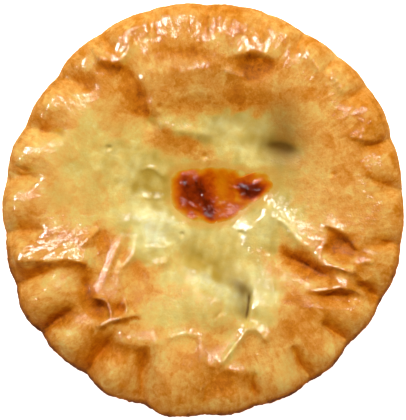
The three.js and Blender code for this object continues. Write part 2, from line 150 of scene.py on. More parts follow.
def smooth_line(points: list[Point], per_span: int = 8, closed: bool = False) -> Array:
    """Draws a smooth line through flat points.

    Args:
        points: The points it passes through.
        per_span: Steps between two of them.
        closed: Whether it runs back to its first point.

    Returns:
        Points along the line, one row each.
    """
    base = np.array(points, float)
    if closed:
        padded = np.vstack([base[-1], base, base[:2]])
    else:
        padded = np.vstack([2 * base[0] - base[1], base, 2 * base[-1] - base[-2]])
    t = np.linspace(0, 1, per_span, endpoint=False)[:, None]
    spans = []
    for a, b, c, d in zip(padded, padded[1:], padded[2:], padded[3:]):
        bend = (2 * a - 5 * b + 4 * c - d) * t**2 + (3 * b - a - 3 * c + d) * t**3
        spans.append(0.5 * (2 * b + (c - a) * t + bend))
    if not closed:
        spans.append(base[-1:])
    return np.vstack(spans)


def soften(grid: Array, rounds: int) -> Array:
    """Blurs a square grid of numbers.

    Args:
        grid: The numbers.
        rounds: How often they are blurred, each time by about half a cell more.

    Returns:
        The blurred numbers.
    """
    for _ in range(rounds):
        wide = np.pad(grid, 1, mode="edge")
        sides = wide[:-2, 1:-1] + wide[2:, 1:-1] + wide[1:-1, :-2] + wide[1:-1, 2:]
        grid = 0.5 * grid + 0.125 * sides
    return grid


def wander(x: Array, y: Array, size: float, seed: int) -> Array:
    """A soft random field over the lid, from about -1 to 1.

    Args:
        x: Places along X.
        y: Places along Y.
        size: About how far apart its highs lie.
        seed: Which draw of it is used.

    Returns:
        Its value at each place.
    """
    draw = np.random.default_rng(seed)
    waves = 16
    field_values = np.zeros_like(x)
    for _ in range(waves):
        angle, phase = draw.uniform(0, 2 * np.pi, 2)
        length = size * draw.uniform(0.6, 1.7)
        field_values += np.sin((x * np.cos(angle) + y * np.sin(angle)) * 2 * np.pi / length + phase)
    return field_values / np.sqrt(waves)


def add_node(
    tree: Tree,
    kind: str,
    settings: dict[str, Any] | None = None,
    inputs: dict[str | int, Any] | None = None,
    stops: list[tuple[float, str]] | None = None,
) -> bpy.types.Node:
    """Adds a node with its settings and links.

    Args:
        tree: The tree that it goes in.
        kind: Blender's name for the node's type.
        settings: Properties of the node.
        inputs: For each socket, by name or number, a constant, the output that feeds it, or a node
            whose first output feeds it.
        stops: For a colour ramp, its positions and hex colours.

    Returns:
        The new node.
    """
    node = tree.nodes.new(kind)
    for name, value in (settings or {}).items():
        setattr(node, name, value)
    for key, value in (inputs or {}).items():
        if isinstance(value, bpy.types.Node):
            value = value.outputs[0]
        if isinstance(value, bpy.types.NodeSocket):
            tree.links.new(value, node.inputs[key])
        else:
            node.inputs[key].default_value = value
    if stops:
        elements = node.color_ramp.elements
        while len(elements) < len(stops):
            elements.new(1.0)
        for element, (position, colour) in zip(elements, stops):
            element.position = position
            element.color = linear(colour)
    return node


def new_finish(name: str) -> tuple[bpy.types.Material, Tree, Feed]:
    """Makes an empty material.

    Args:
        name: Its name.

    Returns:
        The material, its tree and the places that its patterns read.
    """
    material = bpy.data.materials.new(name)
    material.use_nodes = True
    tree = material.node_tree
    tree.nodes.clear()
    return material, tree, add_node(tree, "ShaderNodeTexCoord").outputs["Object"]


def drawn_out(tree: Tree, place: Feed, radius: float, times: float) -> tuple[Feed, Feed]:
    """Places in which a pattern is drawn out from the pie's middle to its rim.

    Args:
        tree: The tree that they are made in.
        place: The true places.
        radius: Radius at which the pattern keeps its spacing round the pie.
        times: How many times longer than wide it becomes.

    Returns:
        The drawn out places, and how far the true ones lie from the pie's axis.
    """
    flat = add_node(tree, "ShaderNodeVectorMath", {"operation": "MULTIPLY"}, {0: place, 1: (1.0, 1.0, 0.0)})
    length = add_node(tree, "ShaderNodeVectorMath", {"operation": "LENGTH"}, {0: flat}).outputs["Value"]
    outwards = add_node(tree, "ShaderNodeVectorMath", {"operation": "NORMALIZE"}, {0: flat})
    around = add_node(
        tree, "ShaderNodeVectorMath", {"operation": "SCALE"}, {0: outwards, "Scale": radius * MM}
    )
    shorter = add_node(tree, "ShaderNodeMath", {"operation": "DIVIDE"}, {0: length, 1: times})
    up = add_node(tree, "ShaderNodeCombineXYZ", inputs={"Z": shorter})
    return add_node(tree, "ShaderNodeVectorMath", {"operation": "ADD"}, {0: around, 1: up}), length


def new_piece(name: str, vertices: Array, faces: list[Face]) -> bpy.types.Object:
    """Makes a smooth-shaded mesh object at the origin.

    Args:
        name: The piece's name.
        vertices: Places in millimetres, one row each.
        faces: Vertex numbers of each face.

    Returns:
        The object, in the scene.
    """
    mesh = bpy.data.meshes.new(name)
    mesh.from_pydata((vertices * MM).tolist(), [], faces)
    mesh.polygons.foreach_set("use_smooth", [True] * len(mesh.polygons))
    mesh.update()
    piece = bpy.data.objects.new(name, mesh)
    bpy.context.scene.collection.objects.link(piece)
    return piece


def set_layer(piece: bpy.types.Object, layer: Layer, values: Array) -> None:
    """Stores one number for each vertex of a piece as one of its layers."""
    attribute = piece.data.attributes.new(layer.value, "FLOAT", "POINT")
    attribute.data.foreach_set("value", values.astype(np.float32))


def run_tree(piece: bpy.types.Object, tree: Tree, values: dict[str, Any]) -> None:
    """Runs a Geometry Nodes tree on a piece and keeps the result as its plain mesh.

    Args:
        piece: The object whose mesh is the tree's geometry.
        tree: The tree.
        values: The tree's named inputs.
    """
    modifier = piece.modifiers.new(tree.name, "NODES")
    modifier.node_group = tree
    for item in tree.interface.items_tree:
        if item.in_out == "INPUT" and item.name in values:
            modifier[item.identifier] = values[item.name]
    graph = bpy.context.evaluated_depsgraph_get()
    evaluated = piece.evaluated_get(graph)
    mesh = bpy.data.meshes.new_from_object(evaluated, preserve_all_data_layers=True, depsgraph=graph)
    piece.modifiers.clear()
    plain = piece.data
    piece.data = mesh
    bpy.data.meshes.remove(plain)
    mesh.name = piece.name


@dataclass(frozen=True)
class Bulge:
    """A stretch of the rim that stands out from its plain oval, or draws in where reach is negative.

    Attributes:
        direction: Degrees from +X to its middle.
        spread: Degrees to each side.
        reach: How far it stands out.
    """

    direction: float
    spread: float
    reach: float


@dataclass(frozen=True)
class Crimp:
    """One press of the rim, with a puffed lobe to each side of it.

    Attributes:
        direction: Degrees from +X at the rim's edge.
        reach: How far it runs inwards from the edge.
        depth: How deep it is.
        pinch: How narrow it is: 1.5 is a valley as wide as the lobes beside it, 4 a groove.
        slant: Degrees by which it has turned aside at its inner end.
    """

    direction: float
    reach: float
    depth: float
    pinch: float = 3.0
    slant: float = 0.0


@dataclass(frozen=True)
class Fold:
    """A ridge of the lid along a smooth line, or a crease where its height is negative.

    Attributes:
        line: Points that the line passes through.
        height: How far it stands up.
        left: Width over which it falls away on the left of the line.
        right: The same on the right.
        crest: How round its top is.
        taper: Share of the line over which each end dies away.
    """

    line: list[Point]
    height: float
    left: float
    right: float
    crest: float = 0.8
    taper: float = 0.3

    def lift(self, x: Array, y: Array) -> Array:
        """How far the fold raises the lid.

        Args:
            x: Places along X.
            y: Places along Y.

        Returns:
            The rise at each place.
        """
        points = smooth_line(self.line)
        # Farther off than this the fold has died away.
        margin = 5 * max(self.left, self.right) + 2
        low, high = points.min(axis=0) - margin, points.max(axis=0) + margin
        close = (x > low[0]) & (x < high[0]) & (y > low[1]) & (y < high[1])
        lifted = np.zeros_like(x)
        lifted[close] = self._lift(x[close], y[close], points)
        return lifted

    def _lift(self, x: Array, y: Array, points: Array) -> Array:
        """The same, for places that are close to the fold.

        Args:
            x: Places along X.
            y: Places along Y.
            points: Points along its line.

        Returns:
            The rise at each place.
        """
        tangents = np.gradient(points, axis=0)
        steps = np.hypot(tangents[:, 0], tangents[:, 1])
        tangents /= steps[:, None]
        runs = np.concatenate([[0], np.cumsum(np.hypot(*np.diff(points, axis=0).T))])
        runs /= runs[-1]
        # Points of the line count for a place up to about this much farther off than the nearest one.
        reach = 1.2 * steps.max() + 0.35 * min(self.left, self.right)
        nearest = np.full_like(x, np.inf)
        for a, b in points:
            nearest = np.minimum(nearest, (x - a) ** 2 + (y - b) ** 2)
        total, side, along = np.zeros_like(x), np.zeros_like(x), np.zeros_like(x)
        for (a, b), (along_x, along_y), run in zip(points, tangents, runs):
            weight = np.exp((nearest - (x - a) ** 2 - (y - b) ** 2) / reach**2)
            total += weight
            side += weight * (along_x * (y - b) - along_y * (x - a))
            along += weight * run
        side /= total
        along /= total
        width = np.where(side > 0, self.left, self.right)
        away = (np.hypot(side, self.crest) - self.crest) / width
        ends = smooth_step(0, self.taper, along) * smooth_step(0, self.taper, 1 - along)
        return self.height * ends * np.exp(-away * np.sqrt(1 + 0.35 * away))


@dataclass(frozen=True)
class Mound:
    """A pillow of the lid, or a hollow where its height is negative.

    Attributes:
        at: Its middle.
        half: Its half-sizes.
        height: How far it stands up.
        turn: Degrees from +X to its first half-size.
        flat: How flat its top is, where 2 is a plain dome.
    """

    at: Point
    half: Point
    height: float
    turn: float = 0.0
    flat: float = 2.0

    def lift(self, x: Array, y: Array) -> Array:
        """How far the mound raises the lid.

        Args:
            x: Places along X.
            y: Places along Y.

        Returns:
            The rise at each place.
        """
        angle = math.radians(self.turn)
        dx, dy = x - self.at[0], y - self.at[1]
        u = (dx * math.cos(angle) + dy * math.sin(angle)) / self.half[0]
        v = (dy * math.cos(angle) - dx * math.sin(angle)) / self.half[1]
        return self.height * np.exp(-((u * u + v * v) ** (self.flat / 2)))


BULGES = [
    Bulge(33, 17, 1.3),
    Bulge(73, 7, 0.6),
    Bulge(104, 14, 0.5),
    Bulge(146, 14, -1.2),
    Bulge(211, 13, 1.5),
    Bulge(243, 7, 0.8),
    Bulge(260, 5, 1.0),
    Bulge(292, 8, -0.4),
    Bulge(318, 9, -0.9),
    Bulge(345, 8, 0.6),
]

CRIMPS = [
    Crimp(6, 12, 2.8, 3.5),
    Crimp(21, 13, 3.4, 2.4),
    Crimp(37, 13, 2.4, 3),
    Crimp(49, 10, 2.2, 3),
    Crimp(60, 11, 2.2, 3),
    Crimp(71.5, 13, 2.4, 3.5),
    Crimp(89, 13, 2.2, 4),
    Crimp(105, 12, 2.2, 3.5),
    Crimp(120, 12, 2.8, 2.6),
    Crimp(138, 16, 4.2, 1.8, -7),
    Crimp(155, 15, 4.0, 1.8, -3),
    Crimp(171, 14, 3.6, 2, -3),
    Crimp(186.5, 15, 4.2, 2.2),
    Crimp(202, 17, 4.4, 2.2),
    Crimp(217, 18, 5.4, 2.2),
    Crimp(234.5, 22, 5.6, 2),
    Crimp(253, 22, 5.2, 2, -7),
    Crimp(270.5, 14, 2.2, 2.4),
    Crimp(284.5, 14, 3.4, 2.4),
    Crimp(301.5, 14, 3.6, 2.2),
    Crimp(317, 15, 3.8, 2),
    Crimp(333.5, 14, 3.6, 2),
    Crimp(350, 13, 2.8, 3.5),
]

# The shorter arm of the point at the front, which has a painted highlight along its crest.
SHORT_ARM = [(13, -33.6), (16.3, -35.8), (18.2, -37.7), (20.2, -39.6)]

# Creases in the grooves of the front rim: line, depth, width, and the doneness and strength of the painted
# shade in them.
FRONT_CREASES = [
    ([(26, -41), (29, -46), (32.4, -50.6)], 1.6, 2.2, Doneness.CHESTNUT, 0.6),
    ([(35, -33.5), (39, -36.5), (43.6, -39.6)], 1.6, 2.2, Doneness.CHESTNUT, 0.6),
    ([(14.3, -48), (14.8, -53), (15.5, -58)], 1.2, 1.8, Doneness.AMBER, 0.7),
]

# The two cells of the pinch at the lower left: middle, half-sizes and depth. Their hollows also get painted
# shade.
PINCH_CELLS = [((-30.2, -29.6), (2.2, 2.6), 1.8), ((-25, -29.6), (1.6, 2.2), 1.6)]

FOLDS = [
    # The upper plateau: the valley at its left, the wall above it, its lower lip, its upper crease and
    # two flakes.
    Fold(
        [(-25, 44), (-22.6, 40.5), (-19, 35), (-17.7, 30), (-15.6, 25.8), (-11.5, 22.6)],
        -1.9, 1.6, 5, 1.2, 0.25,
    ),
    Fold([(-21, 43), (-17, 35), (-15.8, 29), (-12.6, 25)], 0.8, 8, 1.6, 0.8),
    Fold([(-16, 27.2), (-12, 25.2), (-8.2, 23.8), (-1, 23), (5, 21.5)], 1.5, 2.6, 2.6, 0.7),
    Fold([(-17, 46.5), (-8, 46.6), (0, 45.6), (6, 42.9)], -0.8, 1.6, 2.6, 0.8),
    Fold([(-12, 42), (-6, 40.5), (0, 41.5), (5, 39)], 0.35, 2.5, 1.4, 0.5),
    Fold([(-13, 35.5), (-7, 33.5), (-1, 34.5), (6, 32)], 0.3, 2.5, 1.4, 0.5),
    # The tuck at the upper left: its lip, the pulled wrinkles above it and the side of the knob beside it.
    Fold([(-33.5, 46), (-30.5, 44.2), (-27, 43.4), (-24.5, 44.2), (-22, 46.6)], 1.3, 3, 1.6, 0.5),
    Fold([(-33, 49.8), (-31.5, 46.4), (-28.5, 44.2), (-26, 43.8)], 1.2, 0.7, 0.7, 0.2),
    Fold([(-30.4, 51), (-28.6, 47.2), (-25.6, 45.2)], 1.0, 0.7, 0.7, 0.2),
    Fold([(-23.1, 44), (-21.8, 48.3), (-22.5, 52)], 0.9, 0.9, 0.9, 0.3),
    # Fine creases in the groove at the far left.
    Fold([(-57, 13.6), (-53.5, 12), (-50, 11.4)], -0.7, 0.5, 0.5, 0.2),
    Fold([(-57.8, 11.4), (-54, 10.4), (-50.5, 10.6)], -0.7, 0.5, 0.5, 0.2),
    # Ridges pulled across the back of the rim.
    Fold([(-15.3, 58.8), (-14.8, 54.5), (-14.2, 50.5)], 1.3, 0.7, 0.7, 0.25),
    Fold([(-17.6, 57.5), (-16.7, 54), (-15.6, 50.6)], 0.9, 0.6, 0.6, 0.25),
    Fold([(1.5, 59), (1.9, 56), (2.3, 52.5)], 1.0, 0.7, 0.7, 0.25),
    Fold([(20.4, 57.2), (18.9, 54.6), (17.2, 51.5), (16.6, 48)], 1.6, 1.0, 1.4, 0.3),
    Fold([(29.5, 51.5), (30.5, 47), (34.5, 41), (36, 37)], 1.2, 2.2, 1.2, 0.4),
    Fold([(38, 44), (39.5, 38), (43, 33)], 1.0, 1.8, 1.2, 0.4),
    # The brow over the hollow at the upper right, and the curl below it.
    Fold([(7, 45), (13, 46.4), (18, 46), (23, 43)], 1.5, 4, 0.8, 0.3),
    Fold([(5, 42), (9, 40.2), (14, 39.4)], 0.8, 1.1, 0.9, 0.3),
    # The lower edge of the rough lobe at the right, and two grooves under it.
    Fold([(42.5, 22.4), (47, 20.9), (52, 20.7), (56.5, 22.5)], 1.6, 3, 0.8, 0.3),
    Fold([(47.5, 9.8), (53, 7.8), (59, 6.2)], -1.4, 1.6, 1.1, 0.4),
    Fold([(47, -10.2), (52, -10.6), (57.5, -10.4)], -1.0, 0.9, 0.9, 0.3),
    # The left ledge and the valley beside the pillow under it.
    Fold(
        [(-61, -15), (-54, -14.8), (-47, -15), (-40, -14.4), (-34.4, -15.8), (-32, -19.5)],
        3.0, 7, 2.2, 0.7, 0.2,
    ),
    Fold([(-35.6, -18), (-34.6, -23), (-33.6, -28), (-31, -33)], -2.2, 2.2, 2.6, 1.2),
    # Long shiny wrinkles that run down from the vent, a short one, and ripples beside them.
    Fold(
        [(-22.6, -6), (-24.6, -9), (-26.2, -13.1), (-27.6, -16.4), (-28.7, -19.7), (-30.4, -24)],
        1.6, 1.2, 1.2, 0.5, 0.45,
    ),
    Fold(
        [
            (-19.8, -5.4), (-20.2, -9), (-20.6, -12.4), (-22.2, -14.9),
            (-24.6, -17.6), (-24.9, -21), (-26, -24),
        ],
        1.5, 1.2, 1.2, 0.5, 0.45,
    ),
    Fold([(-30, -4.6), (-33.4, -8), (-36.8, -11.4)], 1.4, 1.0, 1.0, 0.4),
    Fold([(-18, -8.8), (-15.8, -10.9), (-12, -11.4), (-7.5, -10.6)], 0.6, 2.4, 1.6, 0.7),
    Fold([(-16, -15.4), (-12, -15.7), (-9, -14.4)], 0.8, 2.2, 1.4, 0.5),
    # The vent's lips.
    Fold([(-30, -9), (-25.5, -5.2), (-19, -3.6), (-11, -4), (-4, -6.6), (3, -9)], 1.8, 4.4, 16, 1.4),
    Fold([(8, -8.4), (14, -5), (20, -3), (25, -4.5)], 1.4, 4.4, 14, 1.4),
    # The pinch where the wrinkles end.
    Fold([(-33, -25.8), (-29.4, -26.5), (-27.3, -29.3), (-27, -32.8)], 1.6, 0.8, 0.6, 0.2, 0.2),
    Fold([(-23.1, -26.5), (-22.7, -30), (-26.6, -32.8)], 1.6, 0.6, 0.7, 0.2, 0.2),
    Fold([(-32.2, -34.9), (-27.3, -32.8), (-21.7, -31.4), (-18, -30.5)], 1.6, 0.9, 0.8, 0.2, 0.2),
    # The lit facet at the lower left, then the ridges that run on from it and meet in a point.
    Fold(
        [(-29.6, -33), (-28.4, -35.4), (-25, -37.8), (-19, -39.6), (-13, -38.6), (-9, -37)],
        1.3, 7, 2.4, 0.9, 0.25,
    ),
    Fold(
        [
            (-12, -38.8), (-8.1, -37.2), (-4, -36.8), (-1.2, -38), (-0.4, -41),
            (0.6, -44), (2.4, -45.9), (5.2, -46.9),
        ],
        1.2, 2.6, 1.4, 0.4, 0.15,
    ),
    Fold([(14.2, -33.4), (11.1, -38), (8.4, -41.4), (6, -44.6), (4.6, -46.8)], 1.7, 1.4, 1.8, 0.4, 0.15),
    Fold(SHORT_ARM, 1.4, 1.8, 1.4, 0.4),
    Fold([(5.5, -46.8), (10, -47.6), (14, -49)], 0.8, 1.4, 1.2, 0.4),
    Fold([(-0.3, -50.5), (-0.5, -54), (-0.4, -57.5)], 0.7, 1.0, 1.0, 0.4),
    # The first fold at the right: its shiny crest, the curls past it, the edge of the bowl and the flap
    # below it.
    Fold([(13, 1.6), (18, 0), (23, -2.4), (27.4, -7.4), (31.6, -12.2), (33.4, -15.6)], 1.7, 4, 6, 1.0, 0.2),
    Fold([(20, -1.6), (24.6, -4.2), (27.8, -8.4), (31.4, -12.4)], 0.6, 0.7, 0.7, 0.3),
    Fold(
        [(33.3, -7.8), (35.3, -9.5), (35.3, -11.4), (34.5, -13.1), (34.2, -16.1), (35, -18)],
        1.0, 0.7, 0.7, 0.3,
    ),
    Fold([(35.5, -7), (36.6, -9), (35.7, -11)], 0.8, 0.7, 0.7, 0.3),
    Fold(
        [(34.6, -3.8), (38, -5), (40.8, -6.4), (43, -8.4), (44.9, -10.8), (47, -12.4)],
        1.4, 2.4, 0.7, 0.3, 0.2,
    ),
    Fold([(33.4, -16.6), (37.2, -16.4), (41.1, -17.5), (45.9, -19)], 2.2, 3.4, 0.9, 0.4, 0.2),
    Fold([(46, -15.6), (48.5, -15.2), (51, -16)], 0.9, 1.0, 0.8, 0.3),
    Fold([(46, -21.6), (48.5, -20.6), (50, -18.6)], 0.7, 0.8, 0.8, 0.3),
    # The second fold at the right, the valley between the two and the groove beside them.
    Fold([(21.3, -12.6), (29.1, -15.8), (34.5, -18.8), (41.4, -22)], -1.8, 1.4, 2.6, 0.8),
    Fold(
        [(30.6, -23), (33.9, -23.9), (37.2, -23.5), (40.7, -23), (45, -23.9), (51, -26.6)],
        1.8, 2.4, 1.0, 0.3, 0.2,
    ),
    Fold([(44.4, -20.8), (48, -23), (51.6, -25.4), (54.5, -26.6)], -1.4, 1.2, 1.8, 0.5),
    *(Fold(line, -depth, width, 0.4, 0.2, 0.15) for line, depth, width, _, _ in FRONT_CREASES),
    # The edge of the right pillow, the slit beside it, the valley above it and a crease in the left pillow.
    Fold([(15.2, -21), (14.6, -24), (14.2, -28), (13.8, -33.5)], 0.8, 5, 0.7, 0.3, 0.35),
    Fold([(14.2, -22.5), (13.8, -26), (13.3, -30), (12.6, -34.4)], -2.2, 0.4, 0.9, 0.2, 0.4),
    Fold([(-10, -11), (-3, -14), (4, -18.4), (11, -23)], -2.0, 5, 2.6, 1.4),
    Fold([(3, -32.5), (4.6, -31), (5.8, -29.6)], -0.5, 0.5, 0.5, 0.2),
    Fold([(-9, -15), (-2, -18), (4, -21.6), (8.6, -25.6), (10.4, -30)], 1.3, 1.8, 7, 0.8, 0.35),
    Fold([(12.8, -21.5), (12.6, -26), (12.2, -30), (11.6, -34)], -1.3, 0.6, 5, 0.4),
    # The rim of the oily pool beside the cheese.
    Fold([(-19, 11), (-17, 12.4), (-14.6, 12.2), (-12.6, 10.6), (-10.4, 8.6)], 0.4, 0.9, 0.6, 0.3),
    Fold([(-18.2, 4.6), (-16.4, 3.6), (-14.6, 3.8)], 0.5, 0.6, 0.6, 0.2),
    Fold([(-14.6, 3), (-13, 3.6), (-11.6, 2.6)], 0.5, 0.6, 0.6, 0.2),
]

MOUNDS = [
    # The upper plateau, the knobs at the back, the pillows and the puffed lobes of the rim.
    Mound((0, 35), (20, 11), 1.4, -5, 3),
    Mound((-25.5, 50.2), (4.6, 5), 1.2),
    Mound((-20.1, 54.8), (3.5, 2.5), 0.9),
    Mound((10, 51.5), (6.5, 7), 1.2),
    Mound((-45.5, -25), (9.5, 7), 2.0, 20, 3),
    Mound((-28, -25), (10, 9), 2.0),
    Mound((-3, -28), (14, 7), 1.4, -8, 2.5),
    Mound((4, -29.4), (8.6, 6), 2.2, -25, 2.5),
    Mound((20.5, -28), (6, 8), 1.6, 0, 2.5),
    Mound((48.5, 27), (6.5, 6), 1.4, 0, 2.5),
    Mound((-41, -38), (6, 5), 1.4, 30, 3),
    Mound((-27.5, -48.5), (5.6, 6), 1.4, 0, 3),
    Mound((-9, -48), (8, 8.5), 1.4, 0, 3),
    Mound((21.6, -49.5), (8, 6), 0.8),
    Mound((36.6, -42), (6, 6), 0.7),
    Mound((45.6, -33), (6, 6), 0.7),
    # The hollows.
    Mound((41, -11.2), (5.2, 4.4), -2.2, -20, 3),
    Mound((38.8, -26), (6, 2.2), -2.0, -3, 2.5),
    Mound((28.4, -15.6), (6.5, 3), -1.6, -25),
    Mound((15.3, 42), (6.2, 3.8), -1.2, 0, 3),
    Mound((-27, 42), (4.4, 1.8), -0.6, 0, 2.5),
    Mound((-42.6, 22.6), (1.6, 1.3), -1.0),
    Mound((22.6, 17.8), (7.4, 3.4), -1.4, -8, 2.2),
    Mound((14, 24), (12, 9.5), -1.2, -10, 3),
    Mound((6, 4.4), (15, 8.6), -1.5, 0, 2.5),
    *(Mound(at, half, -depth) for at, half, depth in PINCH_CELLS),
    Mound((-30.6, -7.6), (2, 3), -1.2, 30),
    Mound((-25, -42.4), (6, 2.8), -1.0, -12),
    Mound((5.1, -51.3), (4.8, 3.2), -0.5, 0, 4),
]

PRICKS = [(-28, 18.5), (-13, 30.5), (0.5, 16), (-6.3, -7.4), (11.4, -6.8), (38.5, 10.5), (26.8, -41)]


@dataclass
class LidRelief:
    """The pastry's upper face as a height over each place.

    Attributes:
        half_width: Half the rim's plain oval along X.
        half_depth: Half the rim's plain oval along Y.
        edge_height: The rim's outer edge above the table.
        edge_ease: Share by which the crimps are shallower at the rim's very edge.
        crown_height: The lid just inside the crimps.
        centre_height: The lid at its sunken middle.
        edge_run: How far inwards from the edge they are shallower.
        crimp_full: Share of its reach over which a crimp has all of its depth.
        crimp_notch: How far a crimp draws the outline in, for each millimetre of its depth.
        crease_round: How round the bottom of a crimp is, as a share of half the lobe beside it.
        folds_end: Shares of the way to the rim's edge over which folds and mounds die away.
        prick_depth: Depth of the fork pricks.
        prick_radius: Their radius.
    """

    half_width: float = 60.3
    half_depth: float = 62.0
    edge_height: float = 27.5
    edge_ease: float = 0.3
    crown_height: float = 34.5
    centre_height: float = 26.8
    edge_run: float = 4.0
    crimp_full: float = 0.4
    crimp_notch: float = 0.14
    crease_round: float = 0.06
    folds_end: Span = (0.92, 1)
    prick_depth: float = 0.7
    prick_radius: float = 0.7

    def profile(self, share: Array) -> Array:
        """The lid's height before it is folded and crimped.

        Args:
            share: Shares of the way from the middle to the rim's edge.

        Returns:
            The height at each.
        """
        knots = [
            (0, self.centre_height),
            (0.2, self.centre_height + 0.4),
            (0.4, self.centre_height + 2.5),
            (0.58, self.crown_height - 2.4),
            (0.7, self.crown_height - 0.6),
            (0.8, self.crown_height),
            (0.9, self.crown_height - 0.2),
            (0.95, self.crown_height - 1.2),
            (0.975, self.crown_height - 2.7),
            (0.99, self.crown_height - 4.7),
            (1, self.edge_height),
        ]
        line = smooth_line(knots, 12)
        return np.interp(share, line[:, 0], line[:, 1])

    def plain_radius(self, angle: Array) -> Array:
        """The rim's radius before the crimps draw it in.

        Args:
            angle: Directions from +X.

        Returns:
            The radius in each direction.
        """
        radius = 1 / np.hypot(np.cos(angle) / self.half_width, np.sin(angle) / self.half_depth)
        for bulge in BULGES:
            turn = angle - math.radians(bulge.direction)
            share = np.arctan2(np.sin(turn), np.cos(turn)) / math.radians(bulge.spread)
            radius = radius + bulge.reach * np.exp(-(share**2))
        return radius

    def crimps(self, radius: Array, angle: Array) -> tuple[Array, Array]:
        """How deep the crimps are, and how far they draw the outline in.

        Args:
            radius: Distances from the middle.
            angle: Directions from +X.

        Returns:
            The depth at each place, and how far the rim is drawn in there.
        """
        edge = self.plain_radius(angle)
        inwards = edge - radius
        turn = np.degrees(angle)
        depth, notch = np.zeros_like(radius), np.zeros_like(radius)
        for crimp, following in zip(CRIMPS, [*CRIMPS[1:], CRIMPS[0]]):
            first = crimp.direction + crimp.slant * np.clip(inwards / crimp.reach, 0, 1)
            last = following.direction + following.slant * np.clip(inwards / following.reach, 0, 1)
            share = ((turn - first) % 360) / ((last - first) % 360)
            lobe = share < 1
            for end, away in ((crimp, share), (following, 1 - share)):
                near = 1 - np.hypot(2 * np.clip(away, 0, 0.5), self.crease_round)
                drop = np.where(lobe, end.depth * np.clip(near, 0, 1) ** end.pinch, 0)
                fade = 1 - smooth_step(self.crimp_full * end.reach, end.reach, inwards)
                depth += drop * fade * (1 - self.edge_ease * smooth_step(-self.edge_run, 0, -inwards))
                notch += self.crimp_notch * drop
        return depth, notch

    @staticmethod
    def crests(x: Array, y: Array) -> Array:
        """How close places are to the crest of a ridge.

        Args:
            x: Places along X.
            y: Places along Y.

        Returns:
            The closeness of each place, from 0 to 1.
        """
        close = np.zeros_like(x)
        for fold in FOLDS:
            if fold.height > 0:
                close = np.maximum(close, fold.lift(x, y) / fold.height)
        return close

    def rim_radius(self, angle: Array) -> Array:
        """The rim's radius in each direction, drawn in at each crimp."""
        edge = self.plain_radius(angle)
        return edge - self.crimps(edge, angle)[1]

    def height(self, x: Array, y: Array) -> Array:
        """The height of the pastry's upper face.

        Args:
            x: Places along X.
            y: Places along Y.

        Returns:
            The height at each place.
        """
        radius, angle = np.hypot(x, y), np.arctan2(y, x)
        share = radius / self.rim_radius(angle)
        lift = np.zeros_like(x)
        for feature in [*FOLDS, *MOUNDS]:
            lift += feature.lift(x, y)
        for at in PRICKS:
            lift += Mound(at, (self.prick_radius, self.prick_radius), -self.prick_depth).lift(x, y)
        folded = 1 - smooth_step(*self.folds_end, share)
        return self.profile(share) - self.crimps(radius, angle)[0] + folded * lift


@dataclass(frozen=True)
class Patch:
    """A soft-edged patch of the lid that is painted browner or paler than what lies round it: browning, and
    in some patches painted shade and in others a painted highlight.

    Attributes:
        shape: Where it lies: a mound or a fold of height 1.
        doneness: Its place on the colour ramp.
        strength: How fully it covers what lies under it.
    """

    shape: Mound | Fold
    doneness: Doneness
    strength: float = 0.85

    def weight(self, x: Array, y: Array) -> Array:
        """How fully the patch covers places: a soft fade with a firmer edge in it.

        Args:
            x: Places along X.
            y: Places along Y.

        Returns:
            The cover of each place.
        """
        cover = self.shape.lift(x, y)
        firm = smooth_step(0.2, 0.75, cover)
        return self.strength * (0.65 * cover + 0.35 * firm)


def spot(
    at: Point, half: Point, doneness: Doneness, strength: float = 0.85, turn: float = 0.0, flat: float = 2.0
) -> Patch:
    """Makes a patch with the shape of a mound.

    Args:
        at: Its middle.
        half: Its half-sizes.
        doneness: Its place on the colour ramp.
        strength: How fully it covers what lies under it.
        turn: Degrees from +X to its first half-size.
        flat: How flat it is, where 2 fades evenly from its middle.

    Returns:
        The patch.
    """
    return Patch(Mound(at, half, 1, turn, flat), doneness, strength)


